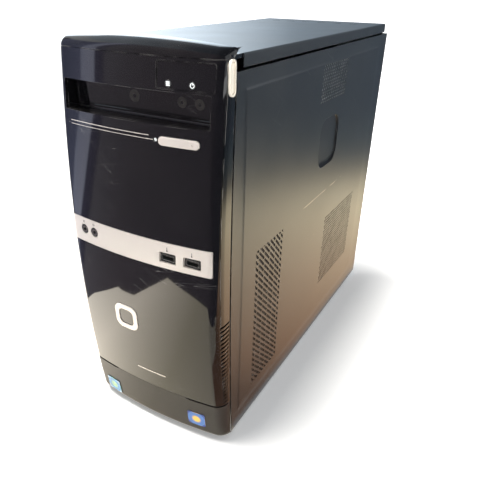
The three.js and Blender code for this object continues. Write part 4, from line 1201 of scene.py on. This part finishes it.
def across_and_in(tree):
    """The place on a card: across, and in from the front."""
    return node(tree, "ShaderNodeSeparateXYZ", {0: spot_on(tree)}).outputs[:2]


# %% Card finishes
def room_look(tree, shader):
    """A dim room with one tall pale window far to the left."""
    bearing = maths(tree, "DIVIDE", *across_and_in(tree))
    glow(tree, shader, bearing, -1.0, 2.0, 1.0, [
        (0.0, "#45444a"), (0.2, "#4f4a50"), (0.55, "#7d757b"), (0.68, "#8c8890"), (0.7, "#625f72"),
        (0.735, "#6a6880"), (0.745, "#e2e6ff"), (0.825, "#d2d8f5"), (0.835, "#8a90b0"), (1.0, "#757a96")])


def pale_look(tree, shader):
    """The table in front of the machine, brightest to the left."""
    glow(tree, shader, across_and_in(tree)[0], -0.35, 0.1, 2.6, [
        (0.0, "#fff8ea"), (0.45, "#fff4e2"), (0.75, "#b0a894"), (1.0, "#8a8478")])


def sky_look(tree, shader):
    """A bright sky to the left that darkens towards the right, as the top cover sees it."""
    glow(tree, shader, across_and_in(tree)[0], -5.0, -0.6, 3.0, [
        (0.0, "#e6f0f8"), (0.35, "#b4c0ca"), (0.65, "#5c666f"), (1.0, "#343c44")])


def ceiling_look(tree, shader):
    """A dim ceiling with a soft brightness towards the left."""
    glow(tree, shader, across_and_in(tree)[0], -4.0, 1.0, 0.9, [
        (0.0, "#b8c4d0"), (0.5, "#5a636e"), (1.0, "#3a4048")])


WARM_LEAN = 0.82    # how far the bands of the warm floor turn from the machine's side


def warm_look(tree, shader):
    """Brown close to the machine, cream further out, then slate towards the far wall."""
    across, inwards = across_and_in(tree)
    reach = maths(tree, "ADD", across, times(tree, inwards, WARM_LEAN))
    glow(tree, shader, reach, 0.0, 1.45, 2.5, [
        (0.0, "#5f4838"), (0.06, "#8d6e56"), (0.2, "#b59c80"), (0.37, "#d2c2a2"), (0.46, "#c9bc9f"),
        (0.58, "#6d695f"), (0.66, "#4b4f50"), (0.8, "#3c454a"), (1.0, "#323a43")])


# %% Lay the cards
CARD_Z = 0.002
RIDGE = [(-0.9, -0.2), (-0.25, -0.245), (-0.25, -0.3), (-0.22, -0.37), (-0.205, -0.37), (-0.17, -0.38),
         (-0.15, -0.43), (-0.12, -0.49), (-0.04, -0.46), (0.26, -0.32), (0.3, -0.18)]
ROOM_EDGE = [(6.0, -0.18), (6.0, -3.0), (-6.0, -3.0), (-6.0, -0.2)]
TABLE_EDGE = [(-0.9, -0.17), (0.3, -0.17)]
card("room floor card", [(*point, CARD_Z) for point in RIDGE + ROOM_EDGE], room_look)
card("room board", upright((-9.0, -3.0), (6.0, -3.0), 4.0), room_look)
card("room side board", upright((-6.0, 1.0), (-6.0, -3.0), 4.0), room_look)
card("table card", [(*point, CARD_Z) for point in RIDGE[::-1] + TABLE_EDGE], pale_look)
card("sky board", upright((-12.0, 5.0), (3.0, 5.0), 9.0), sky_look)
card("ceiling card", level((-6.0, 6.0), (-6.0, 4.0), 5.0), ceiling_look)
card("warm card", level((0.086, 5.0), (-0.3, 6.0), 0.003), warm_look)

# %% Camera
camera_data = bpy.data.cameras.new("camera")
camera = bpy.data.objects.new("camera", camera_data)
bpy.context.scene.collection.objects.link(camera)
AZIMUTH, ELEVATION, ROLL = (math.radians(a) for a in (29.783, 27.992, 0.861))
back = Vector((math.sin(AZIMUTH) * math.cos(ELEVATION), -math.cos(AZIMUTH) * math.cos(ELEVATION),
               math.sin(ELEVATION)))
right = (-back).cross(Vector((0, 0, 1))).normalized()
up = right.cross(-back)
across = math.cos(ROLL) * right + math.sin(ROLL) * up
upward = -math.sin(ROLL) * right + math.cos(ROLL) * up
camera.matrix_world = Matrix((across, upward, back)).transposed().to_4x4()
camera.location = (0.26764, -0.51307, 0.41657)
camera_data.sensor_width = 36.0
camera_data.lens = 36.85
camera_data.shift_x, camera_data.shift_y = 0.0395, 0.0069
camera_data.clip_start, camera_data.clip_end = 0.01, 50
bpy.context.scene.camera = camera
